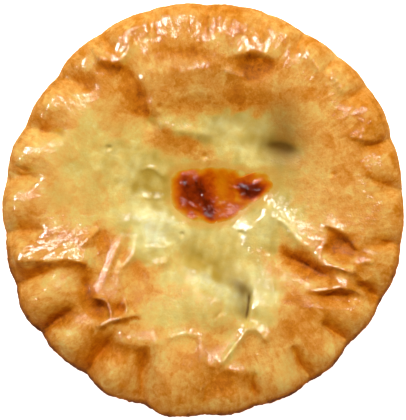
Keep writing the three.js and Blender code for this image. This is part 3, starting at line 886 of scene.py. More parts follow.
PATCHES = [
    # Panels and plateau.
    spot((-36, 13), (15, 23), Doneness.STRAW, 0.9),
    spot((-55, 8), (6, 20), Doneness.GOLD, 0.7),
    spot((1, 37), (23, 12), Doneness.HONEY, 0.95),
    spot((-40, -3), (9, 4), Doneness.GOLD, 0.6),
    spot((6, 54), (24, 6), Doneness.HONEY, 0.7),
    spot((50, 16), (7, 18), Doneness.HONEY, 0.6),
    spot((36, 18), (15, 23), Doneness.HONEY, 0.6),
    spot((36, 36), (12, 9), Doneness.GOLD, 0.7, -45),
    spot((36, 4), (10, 8), Doneness.GOLD, 0.5),
    # Pale dough round the vent.
    spot((10, 22), (11, 8.5), Doneness.CREAM, 0.95, 0, 3),
    spot((0, -15), (27, 16), Doneness.CREAM, 0.95, 0, 3),
    spot((3, -13), (15, 5), Doneness.STRAW, 0.95),
    spot((7, -12), (5, 4), Doneness.CREAM, 0.5),
    spot((-4, -26), (16, 6), Doneness.STRAW, 0.95),
    # The whitest patches, on the vent's lower lip, are partly pale dough and partly painted sheen.
    spot((-17, -3), (11, 5.5), Doneness.DOUGH, 1.0),
    spot((-17, -8), (6.5, 4), Doneness.DOUGH, 0.5, -5),
    spot((22, 0), (5, 5), Doneness.DOUGH, 0.7),
    spot((20, 3), (7, 6), Doneness.CREAM),
    spot((-20, 9), (6, 9), Doneness.CREAM, 0.6),
    spot((20, -28), (7, 8), Doneness.CREAM, 0.7),
    # Partly a painted highlight along the edge of the lower pillow.
    Patch(
        Fold([(-4, -17.6), (4, -22), (8, -25), (10.6, -28.4), (10.8, -32.4)], 1, 1.2, 3.6, 0.8),
        Doneness.DOUGH, 0.9,
    ),
    spot((18.6, -28), (3.6, 6), Doneness.DOUGH, 0.5, 0, 3),
    # Where folds and wrinkles have browned, with painted shade in valleys, grooves and pits, and painted
    # highlights on some tops and crests.
    spot((-21, -24), (8, 5), Doneness.HONEY, 0.6),
    spot((-28, -15.5), (5.4, 12), Doneness.AMBER, 0.7, -18),
    spot((-16.5, -18.2), (7, 3.4), Doneness.AMBER, 0.6),
    spot((-28.5, -29.5), (8, 6), Doneness.AMBER, 0.9),
    spot((-42, -10), (12, 6), Doneness.AMBER, 0.6),
    # Painted shade under the left ledge, in the valley beside its pillow and in the grooves between the
    # front lobes.
    Patch(
        Fold([(-61, -18), (-50, -17.4), (-42, -16.2), (-35.4, -16.6), (-32, -20)], 1, 0.7, 3, 0.7, 0.1),
        Doneness.CHESTNUT, 0.85,
    ),
    Patch(
        Fold([(-35.6, -17), (-35, -23), (-33.4, -28), (-31, -33)], 1, 2.4, 2.2, 1.2),
        Doneness.CHESTNUT, 0.95,
    ),
    Patch(
        Fold([(-54, -40), (-48, -35.6), (-43, -32.8), (-37, -32.4)], 1, 2.2, 1.6, 1, 0.2),
        Doneness.CHESTNUT, 0.9,
    ),
    Patch(Fold([(-31, -37), (-34, -43), (-38.5, -51)], 1, 2, 2, 1, 0.2), Doneness.AMBER, 0.9),
    Patch(Fold([(-15, -39), (-19, -47), (-23.5, -57)], 1, 2, 2, 1, 0.2), Doneness.AMBER, 0.95),
    # Painted highlights on the tops of two lobes and of the pillow at the left.
    spot((-41.5, -37), (4, 3), Doneness.GOLD, 0.8, 30),
    spot((-28, -46.6), (4, 3.6), Doneness.GOLD, 0.8),
    spot((-47, -22.6), (7, 2.6), Doneness.GOLD, 0.8, 25),
    spot((-8, -46), (8, 8), Doneness.HONEY, 0.9),
    spot((3, -38.5), (26, 4.6), Doneness.GOLD, 0.6),
    spot((-20, -36.4), (8, 2.6), Doneness.HONEY, 0.6, -12),
    spot((46, -33), (6, 5), Doneness.GOLD, 0.7),
    spot((18, -43), (7, 4.4), Doneness.GOLD, 0.7, -20),
    spot((1, -42.6), (10, 4.4), Doneness.HONEY, 0.6, -8),
    spot((14.5, -41.5), (5, 3), Doneness.HONEY, 0.5, -30),
    # Painted highlights along the crests of the point's two arms.
    Patch(
        Fold([(14.2, -33.4), (11.1, -38), (8.4, -41.4), (5.4, -46)], 1, 0.9, 0.9, 0.4, 0.1),
        Doneness.STRAW, 0.6,
    ),
    Patch(Fold(SHORT_ARM, 1, 0.9, 0.9, 0.4, 0.1), Doneness.STRAW, 0.5),
    spot((42, -17.6), (5, 2.2), Doneness.HONEY, 0.8, -8),
    spot((-45, -24.5), (10, 6), Doneness.HONEY, 0.6),
    # Painted highlight along the top edge of the left pillow, and painted shade below it.
    spot((-46, -21.6), (6.5, 2.4), Doneness.STRAW, 0.6, 20),
    spot((-43, -27.4), (6.5, 2.6), Doneness.AMBER, 0.55, 15),
    spot((-30.6, -7.6), (2.4, 3.4), Doneness.AMBER, 0.9, 30),
    spot((-1, -53), (24, 7), Doneness.HONEY, 0.6),
    spot((5.1, -51.3), (5.6, 4.2), Doneness.AMBER, 1.0, 0, 4),
    # Painted shade under the lit facet and in the cells of the pinch.
    Patch(
        Fold([(-34, -34), (-30, -38.6), (-25, -41), (-20, -41.6)], 1, 0.8, 3, 0.8, 0.25),
        Doneness.AMBER, 0.7,
    ),
    *(spot(at, half, Doneness.CHESTNUT, 0.8) for at, half, _ in PINCH_CELLS),
    spot((-21.4, -31.6), (2.6, 1), Doneness.CHESTNUT, 0.7),
    spot((38, -9), (10, 8), Doneness.HONEY, 0.8, -20),
    spot((41, -11.4), (5.4, 4.6), Doneness.CHESTNUT, 0.95, -20, 3),
    # Painted shade under the first fold at the right, along the valley, in the pocket and in the grooves of
    # the front rim.
    spot((28.4, -15.4), (7.4, 3.8), Doneness.CHESTNUT, 0.8, -25),
    Patch(
        Fold([(27, -14.6), (33, -17.4), (38.4, -20.6), (43, -22.6)], 1, 1.2, 2.6, 1),
        Doneness.CHESTNUT, 0.85,
    ),
    spot((40.5, -21.8), (5, 1.8), Doneness.CHESTNUT, 0.7, -24),
    Patch(
        Fold([(32.6, -24.6), (37.2, -24.5), (40.7, -24.1), (45, -25)], 1, 0.3, 4, 0.8),
        Doneness.CHESTNUT, 0.9,
    ),
    Patch(Fold([(34, -25), (37.2, -24.7), (40.7, -24.3), (44, -25)], 1, 0.3, 2, 0.6), Doneness.DARK, 0.8),
    *(
        Patch(Fold(line, 1, width, 0.2, 0.4, 0.1), doneness, strength)
        for line, _, width, doneness, strength in FRONT_CREASES
    ),
    spot((49, -23.6), (5, 2.2), Doneness.CHESTNUT, 0.7, -32),
    spot((37, -36), (14, 12), Doneness.HONEY, 0.8),
    spot((29, -31), (7.5, 8.5), Doneness.CHESTNUT, 0.7),
    spot((21.5, -16), (5, 4), Doneness.HONEY, 0.6),
    spot((-14, -24.5), (7, 3.4), Doneness.HONEY, 0.7),
    spot((-28, 3), (7, 6), Doneness.GOLD, 0.45),
    spot((5, 17), (6, 4), Doneness.GOLD, 0.4),
    spot((28, 6), (6, 6), Doneness.GOLD, 0.45),
    spot((-11, -52), (6, 5), Doneness.GOLD, 0.5),
    *(
        Patch(
            Fold([polar(radius, crimp.direction) for radius in (44, 51, 59)], 1, 1, 1, 0.5),
            Doneness.AMBER, 0.6,
        )
        for crimp in CRIMPS
        if 30 < crimp.direction < 130
    ),
    Patch(
        Fold([(-25, 42.5), (-21, 37), (-18.4, 31), (-16, 26)], 1, 1.2, 4.6, 1.4),
        Doneness.CHESTNUT, 0.78,
    ),
    spot((-27, 42), (4.6, 1.8), Doneness.CHESTNUT, 0.9),
    spot((-8, 19), (11, 4), Doneness.AMBER, 0.78, -14),
    spot((-28, 15), (7, 6), Doneness.CREAM, 0.6),
    # Painted shade on the lower sides of the lobes at the upper left, above their grooves.
    Patch(
        Fold([(-44, 42), (-38.5, 39.8), (-34, 37.6), (-30, 34.6)], 1, 2.6, 1.2, 0.8),
        Doneness.AMBER, 0.85,
    ),
    spot((-47, 26.6), (6, 2.8), Doneness.AMBER, 0.7, -12),
    spot((-54.6, 12.2), (3, 2), Doneness.CHESTNUT, 0.6),
    spot((-54, 6), (4, 6), Doneness.STRAW, 0.6),
    spot((-26.4, -49.5), (5, 4), Doneness.STRAW, 0.55),
    spot((26, -48), (7, 5), Doneness.STRAW, 0.65, 30),
    spot((39.6, -39), (4, 4), Doneness.STRAW, 0.5),
    spot((15.6, 42), (6.6, 3.6), Doneness.CHESTNUT, 0.95, 0, 3),
    spot((13, 34), (11, 5), Doneness.AMBER, 0.5),
    # Painted shade in the crease under the back rim.
    spot((-8, 47), (9, 2.2), Doneness.AMBER, 0.8),
    spot((48.5, 27), (7, 6), Doneness.AMBER, 0.6),
]

# Fat stains: the pool beside the cheese and patches round the vent.
OIL_AND_SHADE_STAINS = [
    Mound((-17.4, 8), (3.4, 4), 0.7, 10),
    Mound((-12.4, 5), (4.4, 3.4), 0.6, -20),
    Mound((-13, 10), (3.4, 1.6), 0.5, -14),
    Mound((22.5, 17), (8, 4.4), 0.6, -8),
    # Painted shade in fat colour along the valley down to the slit.
    Fold([(-8, -12), (-2, -14.6), (4, -18.4), (11, -23)], 0.95, 3.6, 2.2, 1.4, 0.5),
    Mound((24, 6), (5, 7), 0.45),
    Mound((-14, 15.5), (8, 5), 0.35),
]
GRAVY_AND_SHADE_STAINS = [
    # The dark filling in the hollow at the upper right, partly painted shade along its upper edge.
    Fold([(14.8, 17.8), (18.6, 19.4), (23, 19.4), (27.4, 17.8), (30.6, 15)], 0.62, 0.8, 3.6, 0.8, 0.4),
    # Painted shade beside the slit, above the hollow, over the plateau, over the slit's upper end and in
    # the slit.
    Fold([(10.8, -22.4), (11.6, -26), (11.7, -30), (11, -34)], 0.45, 1.2, 3.4, 0.8),
    Mound((24.2, 24), (6, 10), 0.6, 10),
    Mound((3, 37), (16, 8), 0.22),
    Mound((9.8, -21.8), (5, 2.2), 0.5, -18),
    Mound((11.8, -23.6), (3, 2), 0.35, -25),
    Fold([(14, -24), (13.7, -27), (13.3, -30), (12.6, -33.4)], 0.85, 0.2, 0.6, 0.2, 0.25),
]
BLISTERS = [Mound((48.5, 27), (7, 6.5), 1, 0, 3)]
SHINES = [
    Mound((-28, -16), (8, 14), 0.65, -20),
    Mound((-34, -8), (5, 5), 0.6),
    Mound((-46, -9), (12, 6), 0.7),
    Mound((-16, -4), (15, 6.5), -0.8),
    Mound((-19, -37), (10, 5), -0.45),
    Mound((14, -37.4), (6.5, 5), 1),
    Mound((5.5, -45), (4.5, 4), 0.9),
    Mound((36, -14), (16, 10), 0.9, -30),
    Mound((-29, 48), (6, 3.6), 0.8),
    Mound((-8, 25), (9, 2.4), 0.8, -10),
    Mound((-28, 18), (2, 2), 1),
    Mound((-40.5, 36.5), (7, 3), 1, -15),
    Mound((24, -4), (9, 4), 0.9, -38),
    Mound((14, 49), (9, 3), 0.7),
    Mound((-14.4, 8.4), (6, 5), 1.3),
    Mound((0.5, 15.4), (2.5, 1.8), 1),
    Mound((20, 1), (8, 5), 0.2),
]


@dataclass(frozen=True)
class BakedPastry:
    """Flaky pastry brushed with egg and baked.

    The egg leaves a clear, slightly rough gloss in patches over a dry crumb. The colour runs from raw cream
    through gold to brown where the oven reached it most, mottled at every size from a finger's width to a
    flake. Painted into it is an orange glow, painted bounce light and shade, in the creases and on slopes
    that face the front, where light goes from one golden face to another.
    """

    name: str = "egg_washed_flaky_pastry"
    roughness: float = 0.52
    wet_roughness: float = 0.38
    ior: float = 1.4
    specular: float = 0.05
    coat_roughness: float = 0.07
    coat_ior: float = 1.6
    glow: float = 0.15
    glow_depth: float = 2.0
    glow_spread: tuple[float, float, float] = (1.0, 0.5, 0.2)
    detail: float = 3.0
    mottle_sizes: tuple[float, ...] = (13.0, 5.0, 1.8, 0.7)
    mottle_strengths: tuple[float, ...] = (0.22, 0.36, 0.28, 0.18)
    mottle_distortion: float = 1.2
    mottle_least: float = 0.15
    coarse_mottles: int = 2
    coarse_shows: float = 0.9
    flake_strength: float = 0.14
    grain_tint: float = 0.14
    bump_size: float = 0.55
    bump_depth: float = 0.17
    bump_least: float = 0.3
    ripple_size: float = 0.9
    ripple_depth: float = 0.26
    streaks_from: float = 36.0
    streaks_full: float = 46.0
    streak_radius: float = 46.0
    streak_length: float = 3.5
    streak_size: float = 1.2
    streak_distortion: float = 0.8
    streak_strength: float = 0.28
    wash_size: float = 1.0
    wash_distortion: float = 0.6
    wash_span: Span = (0.42, 0.58)
    # Tint of the painted shade glow, and the colours of the fat stains and dark filling stains, which also
    # hold painted shade.
    shade_glow_colour: str = "#FFE850"
    oil_and_shade_colour: str = "#B8983A"
    gravy_and_shade_colour: str = "#6C4B14"
    reads: tuple[Layer, ...] = (
        Layer.BROWNING_AND_SHADE, Layer.CRISP, Layer.SHADE_GLOW, Layer.OIL_AND_SHADE,
        Layer.GRAVY_AND_SHADE, Layer.GLOSS, Layer.GRAIN, Layer.FLAKE,
    )
    stops: tuple[tuple[float, str], ...] = (
        (0.0, "#F7F5C6"),
        (0.12, "#EFE49A"),
        (0.28, "#E6CA70"),
        (0.42, "#E6B058"),
        (0.54, "#DD953C"),
        (0.64, "#D07F18"),
        (0.76, "#BE6A06"),
        (0.88, "#9A5004"),
        (1.0, "#6A3006"),
    )

    def make(self) -> bpy.types.Material:
        """Builds the material.

        Returns:
            The material, which reads the pastry's layers.
        """
        material, tree, place = new_finish(self.name)
        layers = {
            layer: add_node(tree, "ShaderNodeAttribute", {"attribute_name": layer.value}).outputs["Fac"]
            for layer in self.reads
        }
        mottled, bumped = (
            add_node(
                tree,
                "ShaderNodeMath",
                {"operation": "MULTIPLY_ADD"},
                {0: layers[Layer.CRISP], 1: 1 - least, 2: least},
            )
            for least in (self.mottle_least, self.bump_least)
        )
        grit = add_node(
            tree,
            "ShaderNodeTexNoise",
            inputs={"Vector": place, "Scale": 1 / (self.bump_size * MM), "Detail": self.detail},
        )
        ripples = self._streaks(tree, place, self.ripple_size, 0.0)
        roughness = add_node(
            tree,
            "ShaderNodeMapRange",
            inputs={"Value": bumped, "To Min": self.wet_roughness, "To Max": self.roughness},
        )
        shader = add_node(
            tree,
            "ShaderNodeBsdfPrincipled",
            inputs={
                "Base Color": self._colour(tree, place, layers, mottled),
                "Roughness": roughness,
                "IOR": self.ior,
                "Specular IOR Level": self.specular,
                "Coat Weight": self._wash(tree, place, layers[Layer.GLOSS]),
                "Coat Roughness": self.coat_roughness,
                "Coat IOR": self.coat_ior,
                "Subsurface Weight": self.glow,
                "Subsurface Radius": self.glow_spread,
                "Subsurface Scale": self.glow_depth * MM,
                "Normal": self._bump(tree, grit, bumped, self.bump_depth),
                "Coat Normal": self._bump(tree, ripples, bumped, self.ripple_depth),
            },
        )
        add_node(tree, "ShaderNodeOutputMaterial", inputs={"Surface": shader})
        return material

    def _colour(self, tree: Tree, place: Feed, layers: dict[Layer, Feed], mottled: Feed) -> Feed:
        """The browned colour with its mottles, flakes and stains, and the orange glow of painted bounce
        light and shade.

        Args:
            tree: The material's tree.
            place: The places of its patterns.
            layers: The pastry's layers.
            mottled: How far the fine mottles show.

        Returns:
            The colour.
        """
        noise = {"Vector": place, "Detail": self.detail, "Distortion": self.mottle_distortion}
        mottles = [
            add_node(tree, "ShaderNodeTexNoise", inputs={**noise, "Scale": 1 / (size * MM)})
            for size in self.mottle_sizes
        ]
        mottles.append(self._streaks(tree, place, self.streak_size, self.streak_distortion))
        mottles.append(layers[Layer.FLAKE])
        strengths = [*self.mottle_strengths, self.streak_strength, self.flake_strength]
        done_and_shade = layers[Layer.BROWNING_AND_SHADE]
        for number, (pattern, strength) in enumerate(zip(mottles, strengths)):
            shows = self.coarse_shows if number < self.coarse_mottles else mottled
            centred = add_node(tree, "ShaderNodeMath", {"operation": "SUBTRACT"}, {0: pattern, 1: 0.5})
            shown = add_node(tree, "ShaderNodeMath", {"operation": "MULTIPLY"}, {0: centred, 1: shows})
            done_and_shade = add_node(
                tree, "ShaderNodeMath", {"operation": "MULTIPLY_ADD"}, {0: shown, 1: strength, 2: done_and_shade}
            )
        done_and_shade = add_node(
            tree,
            "ShaderNodeMath",
            {"operation": "MULTIPLY_ADD"},
            {0: layers[Layer.GRAIN], 1: self.grain_tint, 2: done_and_shade},
        )
        colour = add_node(tree, "ShaderNodeValToRGB", inputs={"Fac": done_and_shade}, stops=list(self.stops))
        # Tints of painted bounce light and shade, then the fat and dark filling stains, both of which also
        # carry painted shade.
        for layer, tint, blend in (
            (Layer.SHADE_GLOW, self.shade_glow_colour, "MULTIPLY"),
            (Layer.OIL_AND_SHADE, self.oil_and_shade_colour, "MIX"),
            (Layer.GRAVY_AND_SHADE, self.gravy_and_shade_colour, "MIX"),
        ):
            colour = add_node(
                tree,
                "ShaderNodeMix",
                {"data_type": "RGBA", "blend_type": blend},
                {0: layers[layer], 6: colour, 7: linear(tint)},
            ).outputs[2]
        return colour

    @staticmethod
    def _bump(tree: Tree, pattern: Feed, shows: Feed, depth: float) -> Feed:
        """The normals of a fine pattern.

        Args:
            tree: The material's tree.
            pattern: The pattern.
            shows: How far it shows.
            depth: Its depth where it shows in full.

        Returns:
            The normals.
        """
        height = add_node(tree, "ShaderNodeMath", {"operation": "MULTIPLY"}, {0: pattern, 1: shows})
        return add_node(
            tree, "ShaderNodeBump", inputs={"Strength": 1.0, "Distance": depth * MM, "Height": height}
        )

    def _wash(self, tree: Tree, place: Feed, gloss: Feed) -> Feed:
        """The egg wash, which the crumb has soaked up in spots.

        Args:
            tree: The material's tree.
            place: The places of its patterns.
            gloss: How much of it was brushed on.

        Returns:
            How much of it is left.
        """
        spots = self._streaks(tree, place, self.wash_size, self.wash_distortion)
        left = add_node(
            tree,
            "ShaderNodeMapRange",
            {"interpolation_type": "SMOOTHSTEP"},
            {"Value": spots, "From Min": self.wash_span[0], "From Max": self.wash_span[1]},
        )
        return add_node(tree, "ShaderNodeMath", {"operation": "MULTIPLY"}, {0: left, 1: gloss})

    def _streaks(self, tree: Tree, place: Feed, size: float, distortion: float) -> Feed:
        """A random pattern that is drawn out where the dough was pulled over the rim.

        Args:
            tree: The material's tree.
            place: The true places.
            size: The pattern's size.
            distortion: How far it is swirled.

        Returns:
            The pattern.
        """
        streaks, length = drawn_out(tree, place, self.streak_radius, self.streak_length)
        noise = {"Scale": 1 / (size * MM), "Detail": self.detail, "Distortion": distortion}
        plain, drawn = (
            add_node(tree, "ShaderNodeTexNoise", inputs={"Vector": at, **noise}) for at in (place, streaks)
        )
        pulled = add_node(
            tree,
            "ShaderNodeMapRange",
            {"interpolation_type": "SMOOTHSTEP"},
            {"Value": length, "From Min": self.streaks_from * MM, "From Max": self.streaks_full * MM},
        )
        return add_node(tree, "ShaderNodeMix", {"data_type": "FLOAT"}, {0: pulled, 2: plain, 3: drawn})


@dataclass(frozen=True)
class Grain:
    """One size of unevenness in a baked surface.

    Attributes:
        name: What it is.
        size: Its spacing.
        height: How far it stands up.
        layer: The layer that says where it shows.
        pattern: How its heights are drawn.
        squeeze: How much closer it repeats along X, Y and Z.
        drawn_at: Where it is drawn out from the pie's middle to its rim, the radius at which it has
            its spacing.
    """

    name: str
    size: float
    height: float
    layer: Layer
    pattern: Pattern = Pattern.SOFT
    squeeze: tuple[float, float, float] = (1.0, 1.0, 1.0)
    drawn_at: float = 0.0


@dataclass(frozen=True)
class GrainedSurface:
    """Raises several grains on a surface, along its normals.

    Attributes:
        name: The tree's name.
        grains: The grains, coarse to fine.
        seed: Which draw of the patterns is used.
        draw_out: How many times longer than wide a grain is that is drawn out.
    """

    name: str
    grains: tuple[Grain, ...]
    seed: float = 3.0
    draw_out: float = 4.0

    def apply(self, piece: bpy.types.Object, material: bpy.types.Material) -> None:
        """Raises the grains on a piece and gives it its material.

        Args:
            piece: The piece, which has the layers that the grains read.
            material: Its finish.
        """
        values: dict[str, Any] = {"Seed": self.seed, "Material": material}
        for grain in self.grains:
            values[f"{grain.name} size"] = grain.size * MM
            values[f"{grain.name} height"] = grain.height * MM
        run_tree(piece, self._tree(), values)

    def _tree(self) -> Tree:
        """Builds the tree, with an input for each grain's size and height.

        Returns:
            The tree.
        """
        tree = bpy.data.node_groups.new(self.name, "GeometryNodeTree")
        sockets = tree.interface
        sockets.new_socket("Geometry", in_out="INPUT", socket_type="NodeSocketGeometry")
        sockets.new_socket("Geometry", in_out="OUTPUT", socket_type="NodeSocketGeometry")
        sockets.new_socket("Seed", in_out="INPUT", socket_type="NodeSocketFloat")
        sockets.new_socket("Material", in_out="INPUT", socket_type="NodeSocketMaterial")
        for grain in self.grains:
            for measure in ("size", "height"):
                sockets.new_socket(f"{grain.name} {measure}", in_out="INPUT", socket_type="NodeSocketFloat")
        entry = add_node(tree, "NodeGroupInput").outputs
        place = add_node(tree, "GeometryNodeInputPosition")
        lift: Feed | float = 0.0
        flake: Feed | float = 0.5
        for number, grain in enumerate(self.grains):
            at = drawn_out(tree, place, grain.drawn_at, self.draw_out)[0] if grain.drawn_at else place
            at = add_node(
                tree, "ShaderNodeVectorMath", {"operation": "MULTIPLY"}, {0: at, 1: grain.squeeze}
            )
            scale = add_node(
                tree, "ShaderNodeMath", {"operation": "DIVIDE"}, {0: 1.0, 1: entry[f"{grain.name} size"]}
            )
            draw = add_node(
                tree, "ShaderNodeMath", {"operation": "ADD"}, {0: entry["Seed"], 1: float(number)}
            )
            inputs = {"Vector": at, "W": draw, "Scale": scale}
            if grain.pattern is Pattern.FLAKED:
                value, flake = self._flakes(tree, inputs)
            else:
                value = self._heights(tree, grain.pattern, inputs)
            height = entry[f"{grain.name} height"]
            raised = add_node(tree, "ShaderNodeMath", {"operation": "MULTIPLY"}, {0: value, 1: height})
            shows = add_node(
                tree, "GeometryNodeInputNamedAttribute", {"data_type": "FLOAT"}, {"Name": grain.layer.value}
            )
            lift = add_node(
                tree, "ShaderNodeMath", {"operation": "MULTIPLY_ADD"}, {0: raised, 1: shows, 2: lift}
            )
        relative = add_node(tree, "ShaderNodeMath", {"operation": "MULTIPLY"}, {0: lift, 1: 1 / MM})
        stored = entry["Geometry"]
        for layer, value in ((Layer.GRAIN, relative), (Layer.FLAKE, flake)):
            stored = add_node(
                tree,
                "GeometryNodeStoreNamedAttribute",
                {"data_type": "FLOAT", "domain": "POINT"},
                {"Geometry": stored, "Name": layer.value, "Value": value},
            )
        normal = add_node(tree, "GeometryNodeInputNormal")
        offset = add_node(tree, "ShaderNodeVectorMath", {"operation": "SCALE"}, {0: normal, "Scale": lift})
        moved = add_node(tree, "GeometryNodeSetPosition", inputs={"Geometry": stored, "Offset": offset})
        plain = add_node(tree, "GeometryNodeRealizeInstances", inputs={"Geometry": moved})
        dressed = add_node(
            tree, "GeometryNodeSetMaterial", inputs={"Geometry": plain, "Material": entry["Material"]}
        )
        add_node(tree, "NodeGroupOutput", inputs={"Geometry": dressed})
        return tree

    @staticmethod
    def _flakes(tree: Tree, inputs: dict[str, Any]) -> tuple[Feed, Feed]:
        """Flakes with ragged edges, each of which tilts its own way.

        Args:
            tree: The tree that they are made in.
            inputs: The pattern's place, draw and scale.

        Returns:
            Their heights, from about -0.5 to 0.5, and a number from 0 to 1 for each flake.
        """
        ragged = 3.0
        warp = add_node(
            tree,
            "ShaderNodeTexNoise",
            {"noise_dimensions": "4D"},
            {"Vector": inputs["Vector"], "W": inputs["W"], "Scale": 1 / (ragged * MM), "Detail": 3.0},
        ).outputs["Color"]
        shifted = add_node(
            tree,
            "ShaderNodeVectorMath",
            {"operation": "MULTIPLY_ADD"},
            {0: warp, 1: (ragged * MM,) * 3, 2: inputs["Vector"]},
        )
        cells = add_node(
            tree, "ShaderNodeTexVoronoi", {"voronoi_dimensions": "4D"}, {**inputs, "Vector": shifted}
        ).outputs
        away = add_node(
            tree, "ShaderNodeVectorMath", {"operation": "SUBTRACT"}, {0: shifted, 1: cells["Position"]}
        )
        away = add_node(
            tree, "ShaderNodeVectorMath", {"operation": "SCALE"}, {0: away, "Scale": inputs["Scale"]}
        )
        lean = add_node(
            tree,
            "ShaderNodeVectorMath",
            {"operation": "MULTIPLY_ADD"},
            {0: cells["Color"], 1: (2.0,) * 3, 2: (-1.0,) * 3},
        )
        height = add_node(
            tree, "ShaderNodeVectorMath", {"operation": "DOT_PRODUCT"}, {0: away, 1: lean}
        ).outputs["Value"]
        return height, add_node(tree, "ShaderNodeSeparateXYZ", inputs={0: cells["Color"]})

    @staticmethod
    def _heights(tree: Tree, pattern: Pattern, inputs: dict[str, Any]) -> Feed:
        """A grain's heights, from about -0.5 to 0.5.

        Args:
            tree: The tree that they are made in.
            pattern: How they are drawn.
            inputs: The noise's place, draw and scale.

        Returns:
            The heights.
        """
        noise = add_node(
            tree,
            "ShaderNodeTexNoise",
            {"noise_dimensions": "4D"},
            {**inputs, "Detail": 2.0, "Distortion": 0.4},
        )
        value = add_node(tree, "ShaderNodeMath", {"operation": "SUBTRACT"}, {0: noise, 1: 0.5})
        if pattern is Pattern.SOFT:
            return value
        puffs = add_node(tree, "ShaderNodeMath", {"operation": "ABSOLUTE"}, {0: value})
        if pattern is Pattern.PUFFED:
            return puffs
        ridge_top = 0.1
        return add_node(tree, "ShaderNodeMath", {"operation": "SUBTRACT"}, {0: ridge_top, 1: puffs})


@dataclass(frozen=True)
class Skin:
    """The vertices of the pastry's skin, and how the skin lies there.

    Attributes:
        x: Places along X.
        y: Places along Y.
        z: Heights above the table.
        on_lid: Which of them are the lid's.
        share: How far each lies along the way from the middle to the rim's edge.
        hollow: How far each lies below what is round it.
        fall: How steeply the lid falls towards the front.
    """

    x: Array
    y: Array
    z: Array
    on_lid: Array
    share: Array
    hollow: Array
    fall: Array

    def outside_cheese(self) -> Array:
        """How far each vertex lies outside the cheese's outline.

        Returns:
            The distances, 0 inside the outline.
        """
        x, y = self.x, self.y
        line = smooth_line(CHEESE_OUTLINE, closed=True)
        distance = np.full_like(x, np.inf)
        inside = np.zeros(x.shape, bool)
        for (a, b), (c, d) in zip(line, np.roll(line, -1, axis=0)):
            distance = np.minimum(distance, np.hypot(x - a, y - b))
            if b != d:
                inside ^= ((b > y) != (d > y)) & (x < a + (c - a) * (y - b) / (d - b))
        return np.where(inside, 0, distance)


